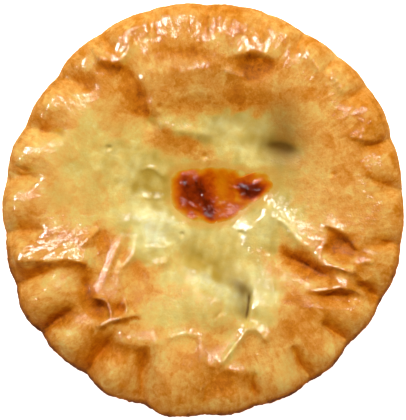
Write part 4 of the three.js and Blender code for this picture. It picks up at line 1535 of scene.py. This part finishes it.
@dataclass(frozen=True)
class Baking:
    """What the oven, the egg wash and the filling made of the pastry, with shade and light painted into it.

    A span is where something rises from none to all. Its two ends are shares of the way from the lid's
    middle to the rim's edge, unless its name says that they are heights, slopes, depths, doneness, places
    along Y or closeness to a crest.
    """

    # Doneness of the plain lid, at shares of that way, and of the wall, at heights.
    lid_shares: tuple[float, ...] = (0, 0.4, 0.65, 0.8, 0.92, 1)
    lid_doneness: tuple[float, ...] = (0.2, 0.25, 0.38, 0.5, 0.54, 0.6)
    wall_heights: tuple[float, ...] = (0, 6, 18, 24, 28)
    wall_doneness: tuple[float, ...] = (0.66, 0.5, 0.42, 0.4, 0.5)
    # How far the edges of browned patches wander, and how far apart their bays lie.
    patch_wander: float = 1.0
    wander_size: float = 5.0
    # How far round the cheese the dough has browned, and how far fat has seeped into it.
    fringe: float = 2.2
    fringe_strength: float = 0.6
    seep: float = 2.0
    seep_oil: float = 0.25
    # Doneness over which dough sets, and over which it turns crisp.
    baked_doneness: Span = (0.28, 0.46)
    crisp_doneness: Span = (0.1, 0.55)
    wall_crisp: float = 0.6
    foot_heights: Span = (1, 8)
    # Stretches of the lid, from its middle outwards, and of the rim's side.
    middle_end: Span = (0.5, 0.7)
    folds_end: Span = (0.72, 0.84)
    rim_start: Span = (0.74, 0.84)
    rim_end: Span = (0.93, 0.98)
    edge_start: Span = (0.97, 1)
    side_edge_heights: Span = (16, 24)
    # Painted shade and light: slopes that face the front, away from the key light, are painted darker,
    # those that face the back lighter, and hollows darker.
    shaded_front_slopes: Span = (0.08, 0.7)
    lit_back_slopes: Span = (0.08, 0.6)
    painted_front_shade: float = 0.02
    painted_front_shade_of_folds: float = 0.08
    painted_back_light: float = 0.02
    painted_hollow_shade: float = 0.05
    hollow_limits: Span = (-0.6, 1.2)
    # The rim's edge and side are painted darker at the front, away from the light, as painted shade, where
    # these places are counted along -Y.
    front_edge_shade_places: Span = (-5, 30)
    front_edge_shade_start: Span = (0.96, 0.998)
    front_edge_shade_strength: float = 0.4
    nose_from_heights: Span = (18, 21)
    nose_to_heights: Span = (26, 28)
    # Fat that shows through pale dough: amount, spacing and draw of its clouds, and how much of its colour
    # is painted as shade on slopes that face the front.
    fat: float = 0.2
    fat_clouds: tuple[tuple[float, float, int], ...] = ((0.16, 8, 3), (0.12, 3.5, 4))
    painted_shade_fat_on_slopes: float = 0.5
    # Painted bounce light and shade: the orange glow of hollows and of slopes that face the front.
    hollow_shade_glow: float = 0.3
    slope_shade_glow: float = 0.7
    most_shade_glow: float = 0.9
    # Wrinkles of the middle where it is set, and pulls of the rim, which are full at the back.
    set_wrinkles: float = 0.25
    least_pull: float = 0.35
    pull_places: Span = (0, 40)
    # Egg wash on all of the lid, its rim, pale dough and crests, and on the wall, and what hollows lack.
    gloss: float = 0.04
    rim_gloss: float = 0.45
    rim_gloss_places: Span = (-25, 5)
    pale_gloss: float = 0.1
    crest_gloss: float = 0.75
    crest_closeness: Span = (0.3, 0.9)
    wall_gloss: float = 0.1
    hollow_loss: float = 0.92
    hollow_depths: Span = (-0.05, 0.4)

    def layers(self, skin: Skin, crests: Array) -> dict[Layer, Array]:
        """What varies over the pastry.

        Args:
            skin: The pastry's skin.
            crests: How close each vertex is to the crest of a ridge.

        Returns:
            The values of each layer, one for each vertex.
        """
        x, y, z, on_lid = skin.x, skin.y, skin.z, skin.on_lid
        stray = [self.patch_wander * wander(x, y, self.wander_size, draw) for draw in (1, 2)]
        ragged = [x + stray[0], y + stray[1]]
        outside = skin.outside_cheese()
        done_and_shade = self._lid_doneness_and_shade(skin, ragged, outside)
        baked = smooth_step(*self.baked_doneness, done_and_shade)
        crisp = smooth_step(*self.crisp_doneness, done_and_shade)
        # Slopes that face the front, away from the key light, which carry painted shade.
        front = smooth_step(*self.shaded_front_slopes, skin.fall)
        seep = 1 - smooth_step(0, self.seep, outside)
        stains = sum(stain.lift(*ragged) for stain in OIL_AND_SHADE_STAINS)
        dry = 1 - np.clip(stains + seep, 0, 1)
        # On slopes that face the front, the fat colour is painted shade.
        fat = self.fat + self.painted_shade_fat_on_slopes * front
        fat += sum(amount * wander(x, y, size, draw) for amount, size, draw in self.fat_clouds)
        oil_and_shade = stains + self.seep_oil * seep + np.clip(fat, 0, 1) * (1 - baked)
        gravy_and_shade = np.clip(sum(stain.lift(x, y) for stain in GRAVY_AND_SHADE_STAINS) * on_lid, 0, 1)
        middle = 1 - smooth_step(*self.middle_end, skin.share)
        pale = (1 - baked) * middle * on_lid
        rim = smooth_step(*self.rim_start, skin.share) * on_lid
        rim = rim * (1 - smooth_step(*self.rim_end, skin.share))
        # Painted bounce light and shade: an orange glow in hollows and on slopes that face away from the
        # key light.
        glow = np.clip(self.hollow_shade_glow * skin.hollow + self.slope_shade_glow * front, 0, self.most_shade_glow)
        gloss = self._gloss(skin, rim, pale, crests)
        risen = smooth_step(*self.foot_heights, z)
        pull = self.least_pull + (1 - self.least_pull) * smooth_step(*self.pull_places, y)
        side = smooth_step(*self.side_edge_heights, z)
        return {
            Layer.BROWNING_AND_SHADE: self._browning_and_shade(skin, done_and_shade, baked, front),
            Layer.CRISP: np.where(on_lid, crisp * dry, self.wall_crisp * risen),
            Layer.PULLED: rim * pull,
            Layer.WRINKLED: np.clip(pale + self.set_wrinkles * middle, 0, 1) * dry * on_lid,
            Layer.BLISTERED: sum(rough.lift(x, y) for rough in BLISTERS) * on_lid,
            Layer.UNEVEN: np.where(on_lid, dry, risen),
            Layer.SHADE_GLOW: glow * baked * on_lid,
            Layer.OIL_AND_SHADE: np.clip(oil_and_shade, 0, 1) * on_lid,
            Layer.GRAVY_AND_SHADE: gravy_and_shade,
            Layer.GLOSS: np.where(on_lid, gloss * (1 - gravy_and_shade), self.wall_gloss),
            Layer.EDGE: np.where(on_lid, smooth_step(*self.edge_start, skin.share), side),
        }

    def _lid_doneness_and_shade(self, skin: Skin, ragged: list[Array], outside: Array) -> Array:
        """How far the lid's patches have browned, with the painted shade and highlights among them, before
        its folds and hollows are counted.

        Args:
            skin: The pastry's skin.
            ragged: The places of its vertices, with the raggedness of the patches' edges.
            outside: How far each vertex lies outside the cheese.

        Returns:
            The doneness of each vertex.
        """
        done_and_shade = np.interp(skin.share, self.lid_shares, self.lid_doneness)
        for patch in PATCHES:
            done_and_shade += (patch.doneness.value - done_and_shade) * patch.weight(*ragged)
        fringe = self.fringe_strength * (1 - smooth_step(0, self.fringe, outside)) * skin.on_lid
        return done_and_shade + (Doneness.HONEY.value - done_and_shade) * fringe

    def _browning_and_shade(self, skin: Skin, done_and_shade: Array, baked: Array, front: Array) -> Array:
        """How far the pastry has browned, with its folds, hollows, edge and wall, painted darker in
        hollows, on slopes that face the front and on the rim's edge at the front, as painted shade, and
        lighter on slopes that face the back, as painted light.

        Args:
            skin: The pastry's skin.
            done_and_shade: The doneness of the lid's patches.
            baked: How far the dough has set.
            front: How far the lid faces the front.

        Returns:
            The browning of each vertex.
        """
        back = smooth_step(*self.lit_back_slopes, -skin.fall)
        folds = 1 - smooth_step(*self.folds_end, skin.share)
        # Painted shade on slopes that face the front and painted light on slopes that face the back.
        slope = (self.painted_front_shade + self.painted_front_shade_of_folds * folds) * front - self.painted_back_light * back
        # Painted shade in hollows.
        hollow = self.painted_hollow_shade * np.clip(skin.hollow, *self.hollow_limits)
        # Painted shade on the rim's edge and side at the front.
        front_edge_shade = self.front_edge_shade_strength * smooth_step(*self.front_edge_shade_places, -skin.y)
        nose = smooth_step(*self.nose_from_heights, skin.z)
        nose *= 1 - smooth_step(*self.nose_to_heights, skin.z)
        lid = done_and_shade + baked * (hollow + slope) + front_edge_shade * smooth_step(*self.front_edge_shade_start, skin.share)
        wall = np.interp(skin.z, self.wall_heights, self.wall_doneness) + front_edge_shade * nose
        return np.where(skin.on_lid, lid, wall)

    def _gloss(self, skin: Skin, rim: Array, pale: Array, crests: Array) -> Array:
        """How much egg wash lies on the lid.

        Args:
            skin: The pastry's skin.
            rim: How far each vertex is the rim's.
            pale: How far it is pale dough.
            crests: How close it is to the crest of a ridge.

        Returns:
            The amounts, from 0 to 1.
        """
        gloss = self.gloss + self.rim_gloss * rim * smooth_step(*self.rim_gloss_places, skin.y)
        gloss += self.pale_gloss * pale + self.crest_gloss * smooth_step(*self.crest_closeness, crests)
        gloss += sum(shine.lift(skin.x, skin.y) for shine in SHINES)
        return np.clip(gloss, 0, 1) * (1 - self.hollow_loss * smooth_step(*self.hollow_depths, skin.hollow))


@dataclass
class PastryCrust:
    """The base, wall, crimped rim and folded lid, one closed skin.

    Attributes:
        relief: The lid's heights.
        finish: The pastry's finish.
        baking: How it has browned and been stained, with the shade and light painted into it.
        surface: Its unevenness.
        rim_thickness: Thickness of the rim's edge.
        lid_inset: How far the lid's edge stays behind the base's edge under it.
        wall_top_radius: Radius of the wall where it meets the rim.
        foot_radius: Radius of the wall at the table.
        foot_round: Rounding of the foot's edge.
        lid_cells: Cells across the lid.
        wall_rings: Rings of cells down the wall.
        fray: How far the rim's edge is frayed.
        fray_sizes: Amount, spacing and draw of each size of fray.
        fray_inwards: How quickly the fray dies away inwards.
        fray_least: Share of the fray that is left at the back.
        fray_places: Places along -Y over which it rises to all of it.
        near_rounds: Rounds of blur for what is near a place of the lid.
        wide_rounds: Further rounds for what is farther round it.
        hollows_end: Shares of the way to the rim's edge over which hollows stop counting.
        slopes_end: The same for slopes.
        least_rise: Upward part of a direction below which a slope is no steeper.
    """

    relief: LidRelief
    finish: BakedPastry = field(default_factory=BakedPastry)
    baking: Baking = field(default_factory=Baking)
    surface: GrainedSurface = GrainedSurface(
        "pastry_grain",
        (
            Grain("Lump", 12, 0.7, Layer.UNEVEN),
            Grain("Dent", 6, 0.5, Layer.UNEVEN),
            Grain("Puff", 3.0, 0.3, Layer.CRISP),
            Grain("Pull", 2.2, 0.9, Layer.PULLED, Pattern.RIDGED, drawn_at=54),
            Grain("Wrinkle", 2.8, 0.7, Layer.WRINKLED, Pattern.RIDGED, (0.4, 1.0, 1.0)),
            Grain("Flake", 5.5, 0.12, Layer.CRISP, Pattern.FLAKED),
            Grain("Crumb", 1.4, 0.1, Layer.CRISP),
            Grain("Blister", 1.8, 1.0, Layer.BLISTERED, Pattern.PUFFED),
            Grain("Layer", 4.0, 0.5, Layer.EDGE, Pattern.PUFFED, (1.0, 1.0, 5.0)),
        ),
    )
    rim_thickness: float = 5.5
    lid_inset: float = 0.5
    wall_top_radius: float = 54
    foot_radius: float = 44
    foot_round: float = 1.6
    lid_cells: int = 240
    wall_rings: int = 20
    fray: float = 0.3
    fray_sizes: tuple[tuple[float, float, int], ...] = ((0.6, 5, 7), (0.4, 1.8, 8))
    fray_inwards: int = 40
    fray_least: float = 0.4
    fray_places: Span = (-10, 30)
    near_rounds: int = 40
    wide_rounds: int = 160
    hollows_end: Span = (0.92, 0.98)
    slopes_end: Span = (0.9, 0.98)
    least_rise: float = 0.2

    def build(self) -> bpy.types.Object:
        """Makes the crust's mesh with its layers and finish.

        Returns:
            The crust, a finished piece at the origin.
        """
        lid, faces = self._lid()
        above = np.array(self._border())
        rings = self._side_rings(lid[above])
        count = len(above)
        start = len(lid)
        for _ in rings:
            below = np.arange(start, start + count)
            sides = np.column_stack([above, below, np.roll(below, -1), np.roll(above, -1)])
            faces.extend(map(tuple, sides.tolist()))
            above = below
            start += count
        foot = np.column_stack([above, np.full(count, start), np.roll(above, -1)])
        faces.extend(map(tuple, foot.tolist()))
        places = np.vstack([lid, *rings, np.zeros((1, 3))])
        crust = new_piece("pastry", places, faces)
        normals = np.empty(places.size, np.float32)
        crust.data.vertices.foreach_get("normal", normals)
        skin = self._skin(places, normals.reshape(-1, 3), len(lid))
        for layer, values in self.baking.layers(skin, self.relief.crests(skin.x, skin.y)).items():
            set_layer(crust, layer, values)
        self.surface.apply(crust, self.finish.make())
        return crust

    def _lid(self) -> tuple[Array, list[Face]]:
        """Makes the lid: a square grid drawn out to the rim's outline.

        Returns:
            Its vertices and its faces.
        """
        n = self.lid_cells
        line = np.linspace(-1, 1, n + 1)
        a, b = np.meshgrid(line, line, indexing="ij")
        wide = np.abs(a) >= np.abs(b)
        share = np.where(wide, np.abs(a), np.abs(b))
        safe = np.where(share == 0, 1, share)
        turn = np.where(wide, b / safe, a / safe) * np.pi / 4
        angle = np.where(
            wide,
            np.where(a >= 0, turn, np.pi - turn),
            np.where(b >= 0, np.pi / 2 - turn, -np.pi / 2 + turn),
        )
        rim = self.relief.rim_radius(angle)
        rim_x, rim_y = rim * np.cos(angle), rim * np.sin(angle)
        fray = sum(amount * wander(rim_x, rim_y, size, draw) for amount, size, draw in self.fray_sizes)
        shows = self.fray_least + (1 - self.fray_least) * smooth_step(*self.fray_places, -rim_y)
        fray *= self.fray * shows
        radius = share * (rim - self.lid_inset) + fray * share**self.fray_inwards
        x, y = (radius * np.cos(angle)).ravel(), (radius * np.sin(angle)).ravel()
        row = n + 1
        corners = (np.arange(n)[:, None] * row + np.arange(n)).ravel()
        faces = np.column_stack([corners, corners + row, corners + row + 1, corners + 1])
        return np.column_stack([x, y, self.relief.height(x, y)]), [tuple(face) for face in faces.tolist()]

    def _border(self) -> list[int]:
        """Finds the lid's outermost vertices.

        Returns:
            Their numbers, in order round the rim.
        """
        n = self.lid_cells
        row = n + 1
        right = [n * row + j for j in range(n)]
        back = [i * row + n for i in range(n, 0, -1)]
        left = list(range(n, 0, -1))
        front = [i * row for i in range(n)]
        return right + back + left + front

    def _side_rings(self, edge: Array) -> list[Array]:
        """Rings from the lid's edge, round the base's edge under it and down the wall to the foot.

        Args:
            edge: The lid's edge, one row for each vertex.

        Returns:
            The rings, from the top down.
        """
        radius = np.hypot(edge[:, 0], edge[:, 1])
        direction = edge[:, :2] / radius[:, None]
        out = self.lid_inset
        # How far each ring lies inside the lid's edge, and below it as a share of the rim's thickness.
        rim = [
            (0.05, 0.1), (0.25, 0.2), (0.7, 0.3), (0.55, 0.38), (0.2 - out, 0.42), (-out, 0.5),
            (-out, 0.62), (0.3 - out, 0.74), (1.2, 0.84), (2.6, 0.9), (4.4, 0.93),
        ]
        rings = [(radius - inset, edge[:, 2] - drop * self.rim_thickness) for inset, drop in rim]
        top = self.relief.edge_height - self.rim_thickness
        wall = []
        for share in np.linspace(0, 1, self.wall_rings):
            sloped = self.wall_top_radius + (self.foot_radius - self.wall_top_radius) * share
            wall.append((sloped, top + (self.foot_round - top) * share))
        for turn in (0.33, 0.66, 1.0):
            angle = turn * math.pi / 2
            rounded = self.foot_radius - self.foot_round * (1 - math.cos(angle))
            wall.append((rounded, self.foot_round * (1 - math.sin(angle))))
        rings += [(np.full_like(radius, r), np.full_like(radius, z)) for r, z in wall]
        return [np.column_stack([direction * r[:, None], z]) for r, z in rings]

    def _skin(self, places: Array, normals: Array, lid_count: int) -> Skin:
        """Finds how the crust's skin lies.

        Args:
            places: Its vertices.
            normals: The skin's direction at each of them.
            lid_count: How many of them are the lid's.

        Returns:
            The skin.
        """
        x, y, z = places.T
        on_lid = np.arange(len(places)) < lid_count
        share = np.hypot(x, y) / self.relief.rim_radius(np.arctan2(y, x))
        row = self.lid_cells + 1
        level = z[:lid_count].reshape(row, row)
        near = soften(level, self.near_rounds)
        wide = soften(near, self.wide_rounds)
        hollow = np.zeros(len(places))
        hollow[:lid_count] = (0.5 * (near + wide) - level).ravel()
        hollow *= 1 - smooth_step(*self.hollows_end, share)
        fall = np.where(on_lid, -normals[:, 1] / np.clip(normals[:, 2], self.least_rise, 1), 0)
        fall *= 1 - smooth_step(*self.slopes_end, share)
        return Skin(x, y, z, on_lid, share, hollow, fall)


CHEESE_OUTLINE = [
    (22.2, 9.6), (21.2, 11.6), (18.6, 12.4), (14.4, 11.4), (10.8, 12.8), (3.6, 13.4), (-4, 13.1),
    (-8.6, 12.2), (-10.4, 9.4), (-10.7, 6), (-10.1, 1.8), (-7.2, -1.8), (-3.7, -3.7), (0.2, -4.6),
    (4.6, -4.5), (8.6, -3.4), (13.8, 0.6), (17.6, 2.6), (20.3, 4.6), (22.2, 7.2),
]

CHEESE_LUMPS = [
    Mound((-3.8, 6.5), (4.4, 4.8), 0.6),
    Mound((14.5, 6.6), (5, 3), 0.4, 8),
    Mound((-1.8, 8.6), (0.7, 1.4), 0.5),
    Mound((0.9, 3.2), (1.8, 1), 0.4, -30),
    Mound((-2.1, 0.8), (1.8, 0.8), 0.7, -30),
    Mound((-5.4, 1.2), (0.9, 1.4), 0.5),
    Mound((5.4, 1.5), (1.2, 0.7), 0.15, 20),
    Mound((9, -1), (1.6, 0.7), 0.15, 18),
    Mound((9.9, 6.4), (1.8, 0.5), 0.3, -20),
    Mound((16.8, 8.4), (1.4, 0.8), 0.6, 20),
    Fold([(-7.5, 9.5), (-4.6, 5.6), (-3, 2)], 0.5, 0.8, 0.5, 0.2),
    Fold([(-3.4, 10.4), (-0.4, 5.8), (1, 1)], 0.5, 0.8, 0.5, 0.2),
    Fold([(9.6, 8.6), (13, 6.2), (17.4, 5.6)], 0.25, 0.6, 0.6, 0.2),
]

CHAR_SPOTS = [
    (Mound((-3, 5.4), (5.4, 6.4), 1, 0, 3), 0.82),
    (Mound((2, -0.6), (2.2, 3), 1, 10), 0.95),
    (Mound((14.6, 5.8), (4.4, 3), 1, 14, 3), 0.9),
    (Mound((9, -0.6), (6, 2.4), 1, 22, 3), 0.56),
    (Mound((5.6, 8.6), (1.9, 6), 1, 4, 3), 0.36),
    (Fold([(-2.6, 10.4), (-0.4, 5), (1.6, -0.6), (2.6, -3.4)], 1, 1.4, 0.8, 0.4), 0.9),
    (Fold([(-6, 11), (-4.4, 6.4), (-1.8, 2)], 1, 1, 0.7, 0.3), 0.86),
    (Fold([(9.4, 9), (12.6, 6.4), (16, 5.4), (19, 8)], 1, 1.2, 0.8, 0.4), 0.92),
]


@dataclass(frozen=True)
class BrownedCheese:
    """Melted cheese that bubbled up and browned: glassy where it is burnt, oily yellow where it is not."""

    name: str = "browned_melted_cheese"
    roughness: float = 0.32
    ior: float = 1.46
    coat: float = 0.2
    coat_span: Span = (0.12, 0.4)
    specular: float = 0.02
    coat_roughness: float = 0.03
    glow: float = 0.2
    glow_depth: float = 1.5
    glow_spread: tuple[float, float, float] = (1.0, 0.4, 0.1)
    mottle_size: float = 2.2
    mottle_detail: float = 3.0
    mottle_distortion: float = 0.8
    mottle_strength: float = 0.3
    bump_size: float = 0.9
    bump_detail: float = 2.0
    bump_depth: float = 0.1
    bump_strength: float = 0.6
    stops: tuple[tuple[float, str], ...] = (
        (0.0, "#CFB155"),
        (0.08, "#CCA03A"),
        (0.18, "#C98A16"),
        (0.34, "#CA7400"),
        (0.52, "#C25A00"),
        (0.7, "#A43800"),
        (0.86, "#742000"),
        (1.0, "#401000"),
    )

    def make(self) -> bpy.types.Material:
        """Builds the material.

        Returns:
            The material, which reads the cheese's char layer.
        """
        material, tree, place = new_finish(self.name)
        mottle, grit = (
            add_node(
                tree,
                "ShaderNodeTexNoise",
                inputs={
                    "Vector": place,
                    "Scale": 1 / (size * MM),
                    "Detail": detail,
                    "Distortion": distortion,
                },
            )
            for size, detail, distortion in (
                (self.mottle_size, self.mottle_detail, self.mottle_distortion),
                (self.bump_size, self.bump_detail, 0.0),
            )
        )
        layer = add_node(tree, "ShaderNodeAttribute", {"attribute_name": Layer.CHAR.value})
        centred = add_node(tree, "ShaderNodeMath", {"operation": "SUBTRACT"}, {0: mottle, 1: 0.5})
        char = add_node(
            tree,
            "ShaderNodeMath",
            {"operation": "MULTIPLY_ADD"},
            {0: centred, 1: self.mottle_strength, 2: layer.outputs["Fac"]},
        )
        ramp = add_node(tree, "ShaderNodeValToRGB", inputs={"Fac": char}, stops=list(self.stops))
        glaze = add_node(
            tree,
            "ShaderNodeMapRange",
            inputs={
                "Value": char,
                "From Min": self.coat_span[0],
                "From Max": self.coat_span[1],
                "To Max": self.coat,
            },
        )
        bump = add_node(
            tree,
            "ShaderNodeBump",
            inputs={"Strength": self.bump_strength, "Distance": self.bump_depth * MM, "Height": grit},
        )
        shader = add_node(
            tree,
            "ShaderNodeBsdfPrincipled",
            inputs={
                "Base Color": ramp,
                "Roughness": self.roughness,
                "IOR": self.ior,
                "Specular IOR Level": self.specular,
                "Coat Weight": glaze,
                "Coat Roughness": self.coat_roughness,
                "Subsurface Weight": self.glow,
                "Subsurface Radius": self.glow_spread,
                "Subsurface Scale": self.glow_depth * MM,
                "Normal": bump,
                "Coat Normal": bump,
            },
        )
        add_node(tree, "ShaderNodeOutputMaterial", inputs={"Surface": shader})
        return material


@dataclass
class VentCheese:
    """The cheese that welled up through the vent, one closed skin that fills it.

    Spans are shares of the way in from its edge to its middle.

    Attributes:
        relief: The lid that it lies in.
        finish: Its finish.
        surface: Its unevenness.
        centre: The middle of its outline.
        stray: Share by which its edge strays from its outline.
        stray_size: How far apart the bays of its edge lie.
        film: How thick it is above the dough.
        film_span: Where it rises to that.
        lump_span: Where its lumps rise to all of their height.
        sink: How far its edge lies below the lid's face.
        root: How far its underside reaches on below that at its middle.
        char: How far it has browned where it has no darker spot.
        char_span: Where it rises to that.
        char_wander: Share by which that place wanders.
        char_wander_size: How far apart its bays lie.
        spot_span: Where the dark spots rise to all of their strength.
        round_cells: Cells round its edge.
        rings: Rings of cells from its middle to its edge.
    """

    relief: LidRelief
    finish: BrownedCheese = field(default_factory=BrownedCheese)
    surface: GrainedSurface = GrainedSurface(
        "cheese_blisters",
        (
            Grain("Lump", 4.5, 0.7, Layer.CHAR),
            Grain("Crease", 2.6, 0.8, Layer.CHAR, Pattern.RIDGED, (1.5, 1.0, 1.0)),
            Grain("Blister", 1.4, 0.4, Layer.CHAR, Pattern.PUFFED),
        ),
        7.0,
    )
    centre: Point = (1, 5)
    stray: float = 0.02
    stray_size: float = 7.0
    film: float = 0.15
    film_span: Span = (0, 0.3)
    lump_span: Span = (0.06, 0.3)
    sink: float = 0.03
    root: float = 0.5
    char: float = 0.52
    char_span: Span = (0, 0.4)
    char_wander: float = 0.45
    char_wander_size: float = 4.0
    spot_span: Span = (0.02, 0.2)
    round_cells: int = 240
    rings: int = 48

    def build(self) -> bpy.types.Object:
        """Makes the cheese's mesh with its layer and finish.

        Returns:
            The cheese, a finished piece at the origin.
        """
        outline = self._outline()
        shares = np.linspace(0, 1, self.rings + 1)[1:]
        middle = np.array([self.centre])
        flat = np.vstack([middle, *(middle + share * (outline - middle) for share in shares)])
        inset = 1 - np.concatenate([[0], np.repeat(shares, self.round_cells)])
        x, y = flat.T
        floor = self.relief.height(x, y)
        lumps = sum(lump.lift(x, y) for lump in CHEESE_LUMPS)
        film = (self.film + self.sink) * smooth_step(*self.film_span, inset) - self.sink
        top = floor + film + lumps * smooth_step(*self.lump_span, inset)
        under = floor - self.sink - self.root * (1 - (1 - inset) ** 2)
        inner = len(flat) - self.round_cells
        vertices = np.vstack([np.column_stack([flat, top]), np.column_stack([flat, under])[:inner]])
        cheese = new_piece("cheese", vertices, self._faces(len(flat), inner))
        char = self._char(x, y, inset)
        set_layer(cheese, Layer.CHAR, np.concatenate([char, char[:inner]]))
        self.surface.apply(cheese, self.finish.make())
        return cheese

    def _outline(self) -> Array:
        """Draws the cheese's edge.

        Returns:
            Evenly spaced points round it, counter-clockwise.
        """
        line = smooth_line(CHEESE_OUTLINE, 24, closed=True)
        line = np.vstack([line, line[:1]])
        runs = np.concatenate([[0], np.cumsum(np.hypot(*np.diff(line, axis=0).T))])
        even = np.linspace(0, runs[-1], self.round_cells, endpoint=False)
        even_line = np.column_stack([np.interp(even, runs, along) for along in line.T])
        stray = 1 + self.stray * wander(*even_line.T, self.stray_size, 5)
        return self.centre + (even_line - self.centre) * stray[:, None]

    def _faces(self, top_count: int, inner: int) -> list[Face]:
        """The faces of the top, and of the underside that shares the top's edge.

        Args:
            top_count: How many vertices the top has.
            inner: How many of them lie inside its edge.

        Returns:
            Vertex numbers of each face, with all faces pointing out.
        """
        count = self.round_cells
        faces: list[Face] = []
        for under in (False, True):
            number = list(range(top_count))
            if under:
                number[:inner] = range(top_count, top_count + inner)
            sheet = [(number[0], number[1 + i], number[1 + (i + 1) % count]) for i in range(count)]
            for ring in range(self.rings - 1):
                near, far = 1 + ring * count, 1 + (ring + 1) * count
                for i in range(count):
                    j = (i + 1) % count
                    sheet.append((number[near + i], number[far + i], number[far + j], number[near + j]))
            faces.extend(tuple(reversed(face)) if under else face for face in sheet)
        return faces

    def _char(self, x: Array, y: Array, inset: Array) -> Array:
        """How far the cheese has browned.

        Args:
            x: Places along X.
            y: Places along Y.
            inset: How far each place lies along the way in from the edge.

        Returns:
            How far each place has browned.
        """
        bays = 1 + self.char_wander * wander(x, y, self.char_wander_size, 6)
        char = self.char * smooth_step(*self.char_span, inset * bays)
        for dark, level in CHAR_SPOTS:
            char += (level - char) * dark.lift(x, y) * smooth_step(*self.spot_span, inset)
        return char


@dataclass
class Studio:
    """A pale floor, soft light from the back and a camera straight above.

    Attributes:
        frame_height: Height of the picture at the rim's edge.
        rim_level: Height of the rim's edge.
        camera_distance: From the rim's edge up to the camera.
        sensor: The camera's sensor, along the picture's longer side.
        room_light: Strength of the light from all round.
        room_gloss: Its strength in reflections.
        floor_half: Half the floor's width.
        key_size: Width and height of the key light.
        glint_size: The same of the lights that only reflect.
        fill_size: The same of the yellowish light from the front.
    """

    frame_height: float = 126.0
    rim_level: float = 27.5
    camera_distance: float = 450.0
    sensor: float = 36.0
    room_light: float = 0.2
    room_gloss: float = 0.05
    floor_half: float = 1500.0
    key_size: Point = (520, 60)
    glint_size: Point = (520, 40)
    fill_size: Point = (300, 200)

    def build(self) -> None:
        """Makes the floor, the lights and the camera."""
        self._floor()
        self._world()
        self._light("key", (0, 300, 500), self.key_size, 3.3, "#FFFFFF")
        self._light("fill", (0, -420, 300), self.fill_size, 0.12, "#FFD090").visible_glossy = False
        for name, at, watts in (
            ("high glint", (0, 180, 560), 2.0),
            ("low glint", (0, 420, 420), 2.0),
            ("left glint", (-375, 150, 430), 8.0),
        ):
            self._light(name, at, self.glint_size, watts, "#FFFFFF").visible_diffuse = False
        self._camera()
        bpy.context.scene.view_settings.view_transform = "Standard"

    def _floor(self) -> None:
        """A wide pale floor under the pie."""
        half = self.floor_half
        corners = np.array([(-half, -half, 0), (half, -half, 0), (half, half, 0), (-half, half, 0)])
        floor = new_piece("floor", corners, [(0, 1, 2, 3)])
        material = bpy.data.materials.new("pale_paper")
        material.use_nodes = True
        shader = material.node_tree.nodes["Principled BSDF"]
        shader.inputs["Base Color"].default_value = linear("#F6F6F4")
        shader.inputs["Roughness"].default_value = 0.9
        shader.inputs["Emission Color"].default_value = linear("#FFFFFF")
        shader.inputs["Emission Strength"].default_value = 1.0
        floor.data.materials.append(material)
        floor.visible_glossy = False

    def _world(self) -> None:
        """Soft white light from all round, dimmer in reflections, so that no veil lies on the gloss."""
        world = bpy.data.worlds.new("studio")
        world.use_nodes = True
        tree = world.node_tree
        mirrored = add_node(tree, "ShaderNodeLightPath").outputs["Is Glossy Ray"]
        strength = add_node(
            tree,
            "ShaderNodeMix",
            {"data_type": "FLOAT"},
            {0: mirrored, 2: self.room_light, 3: self.room_gloss},
        ).outputs[0]
        background = tree.nodes["Background"]
        background.inputs["Color"].default_value = linear("#FFF1D6")
        tree.links.new(strength, background.inputs["Strength"])
        bpy.context.scene.world = world

    def _light(
        self, name: str, at: tuple[float, float, float], size: Point, watts: float, colour: str
    ) -> bpy.types.Object:
        """Adds a soft light that faces the pie.

        Args:
            name: The light's name.
            at: Its place.
            size: Its width and height.
            watts: Its power.
            colour: Its hex colour.

        Returns:
            The light.
        """
        light = bpy.data.lights.new(name, "AREA")
        light.shape = "RECTANGLE"
        light.size, light.size_y = size[0] * MM, size[1] * MM
        light.energy = watts
        light.color = linear(colour)[:3]
        lamp = bpy.data.objects.new(name, light)
        bpy.context.scene.collection.objects.link(lamp)
        lamp.location = [c * MM for c in at]
        aim = -lamp.location
        lamp.rotation_euler = aim.to_track_quat("-Z", "Y").to_euler()
        return lamp

    def _camera(self) -> None:
        """A camera that looks straight down, with the pie's back at the top of the picture."""
        camera = bpy.data.cameras.new("camera")
        camera.sensor_width = self.sensor
        camera.lens = self.sensor * self.camera_distance / self.frame_height
        camera.clip_start = 10 * MM
        view = bpy.data.objects.new("camera", camera)
        view.location = (0, 0, (self.rim_level + self.camera_distance) * MM)
        bpy.context.scene.collection.objects.link(view)
        bpy.context.scene.camera = view


def main() -> None:
    """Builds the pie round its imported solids, and the studio."""
    logging.basicConfig(level=logging.INFO, format="%(name)s: %(message)s")
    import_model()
    Studio().build()
    relief = LidRelief()
    made = [
        (PastryCrust(relief).build(), "pastry_crust", "baked_pastry"),
        (VentCheese(relief).build(), "vent_cheese", "browned_cheese"),
    ]
    for piece, node, slot in made:
        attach(piece, "root")
        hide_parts(node)
        LOG.info("%s: %d faces", piece.name, len(piece.data.polygons))


if __name__ == "__main__":
    main()
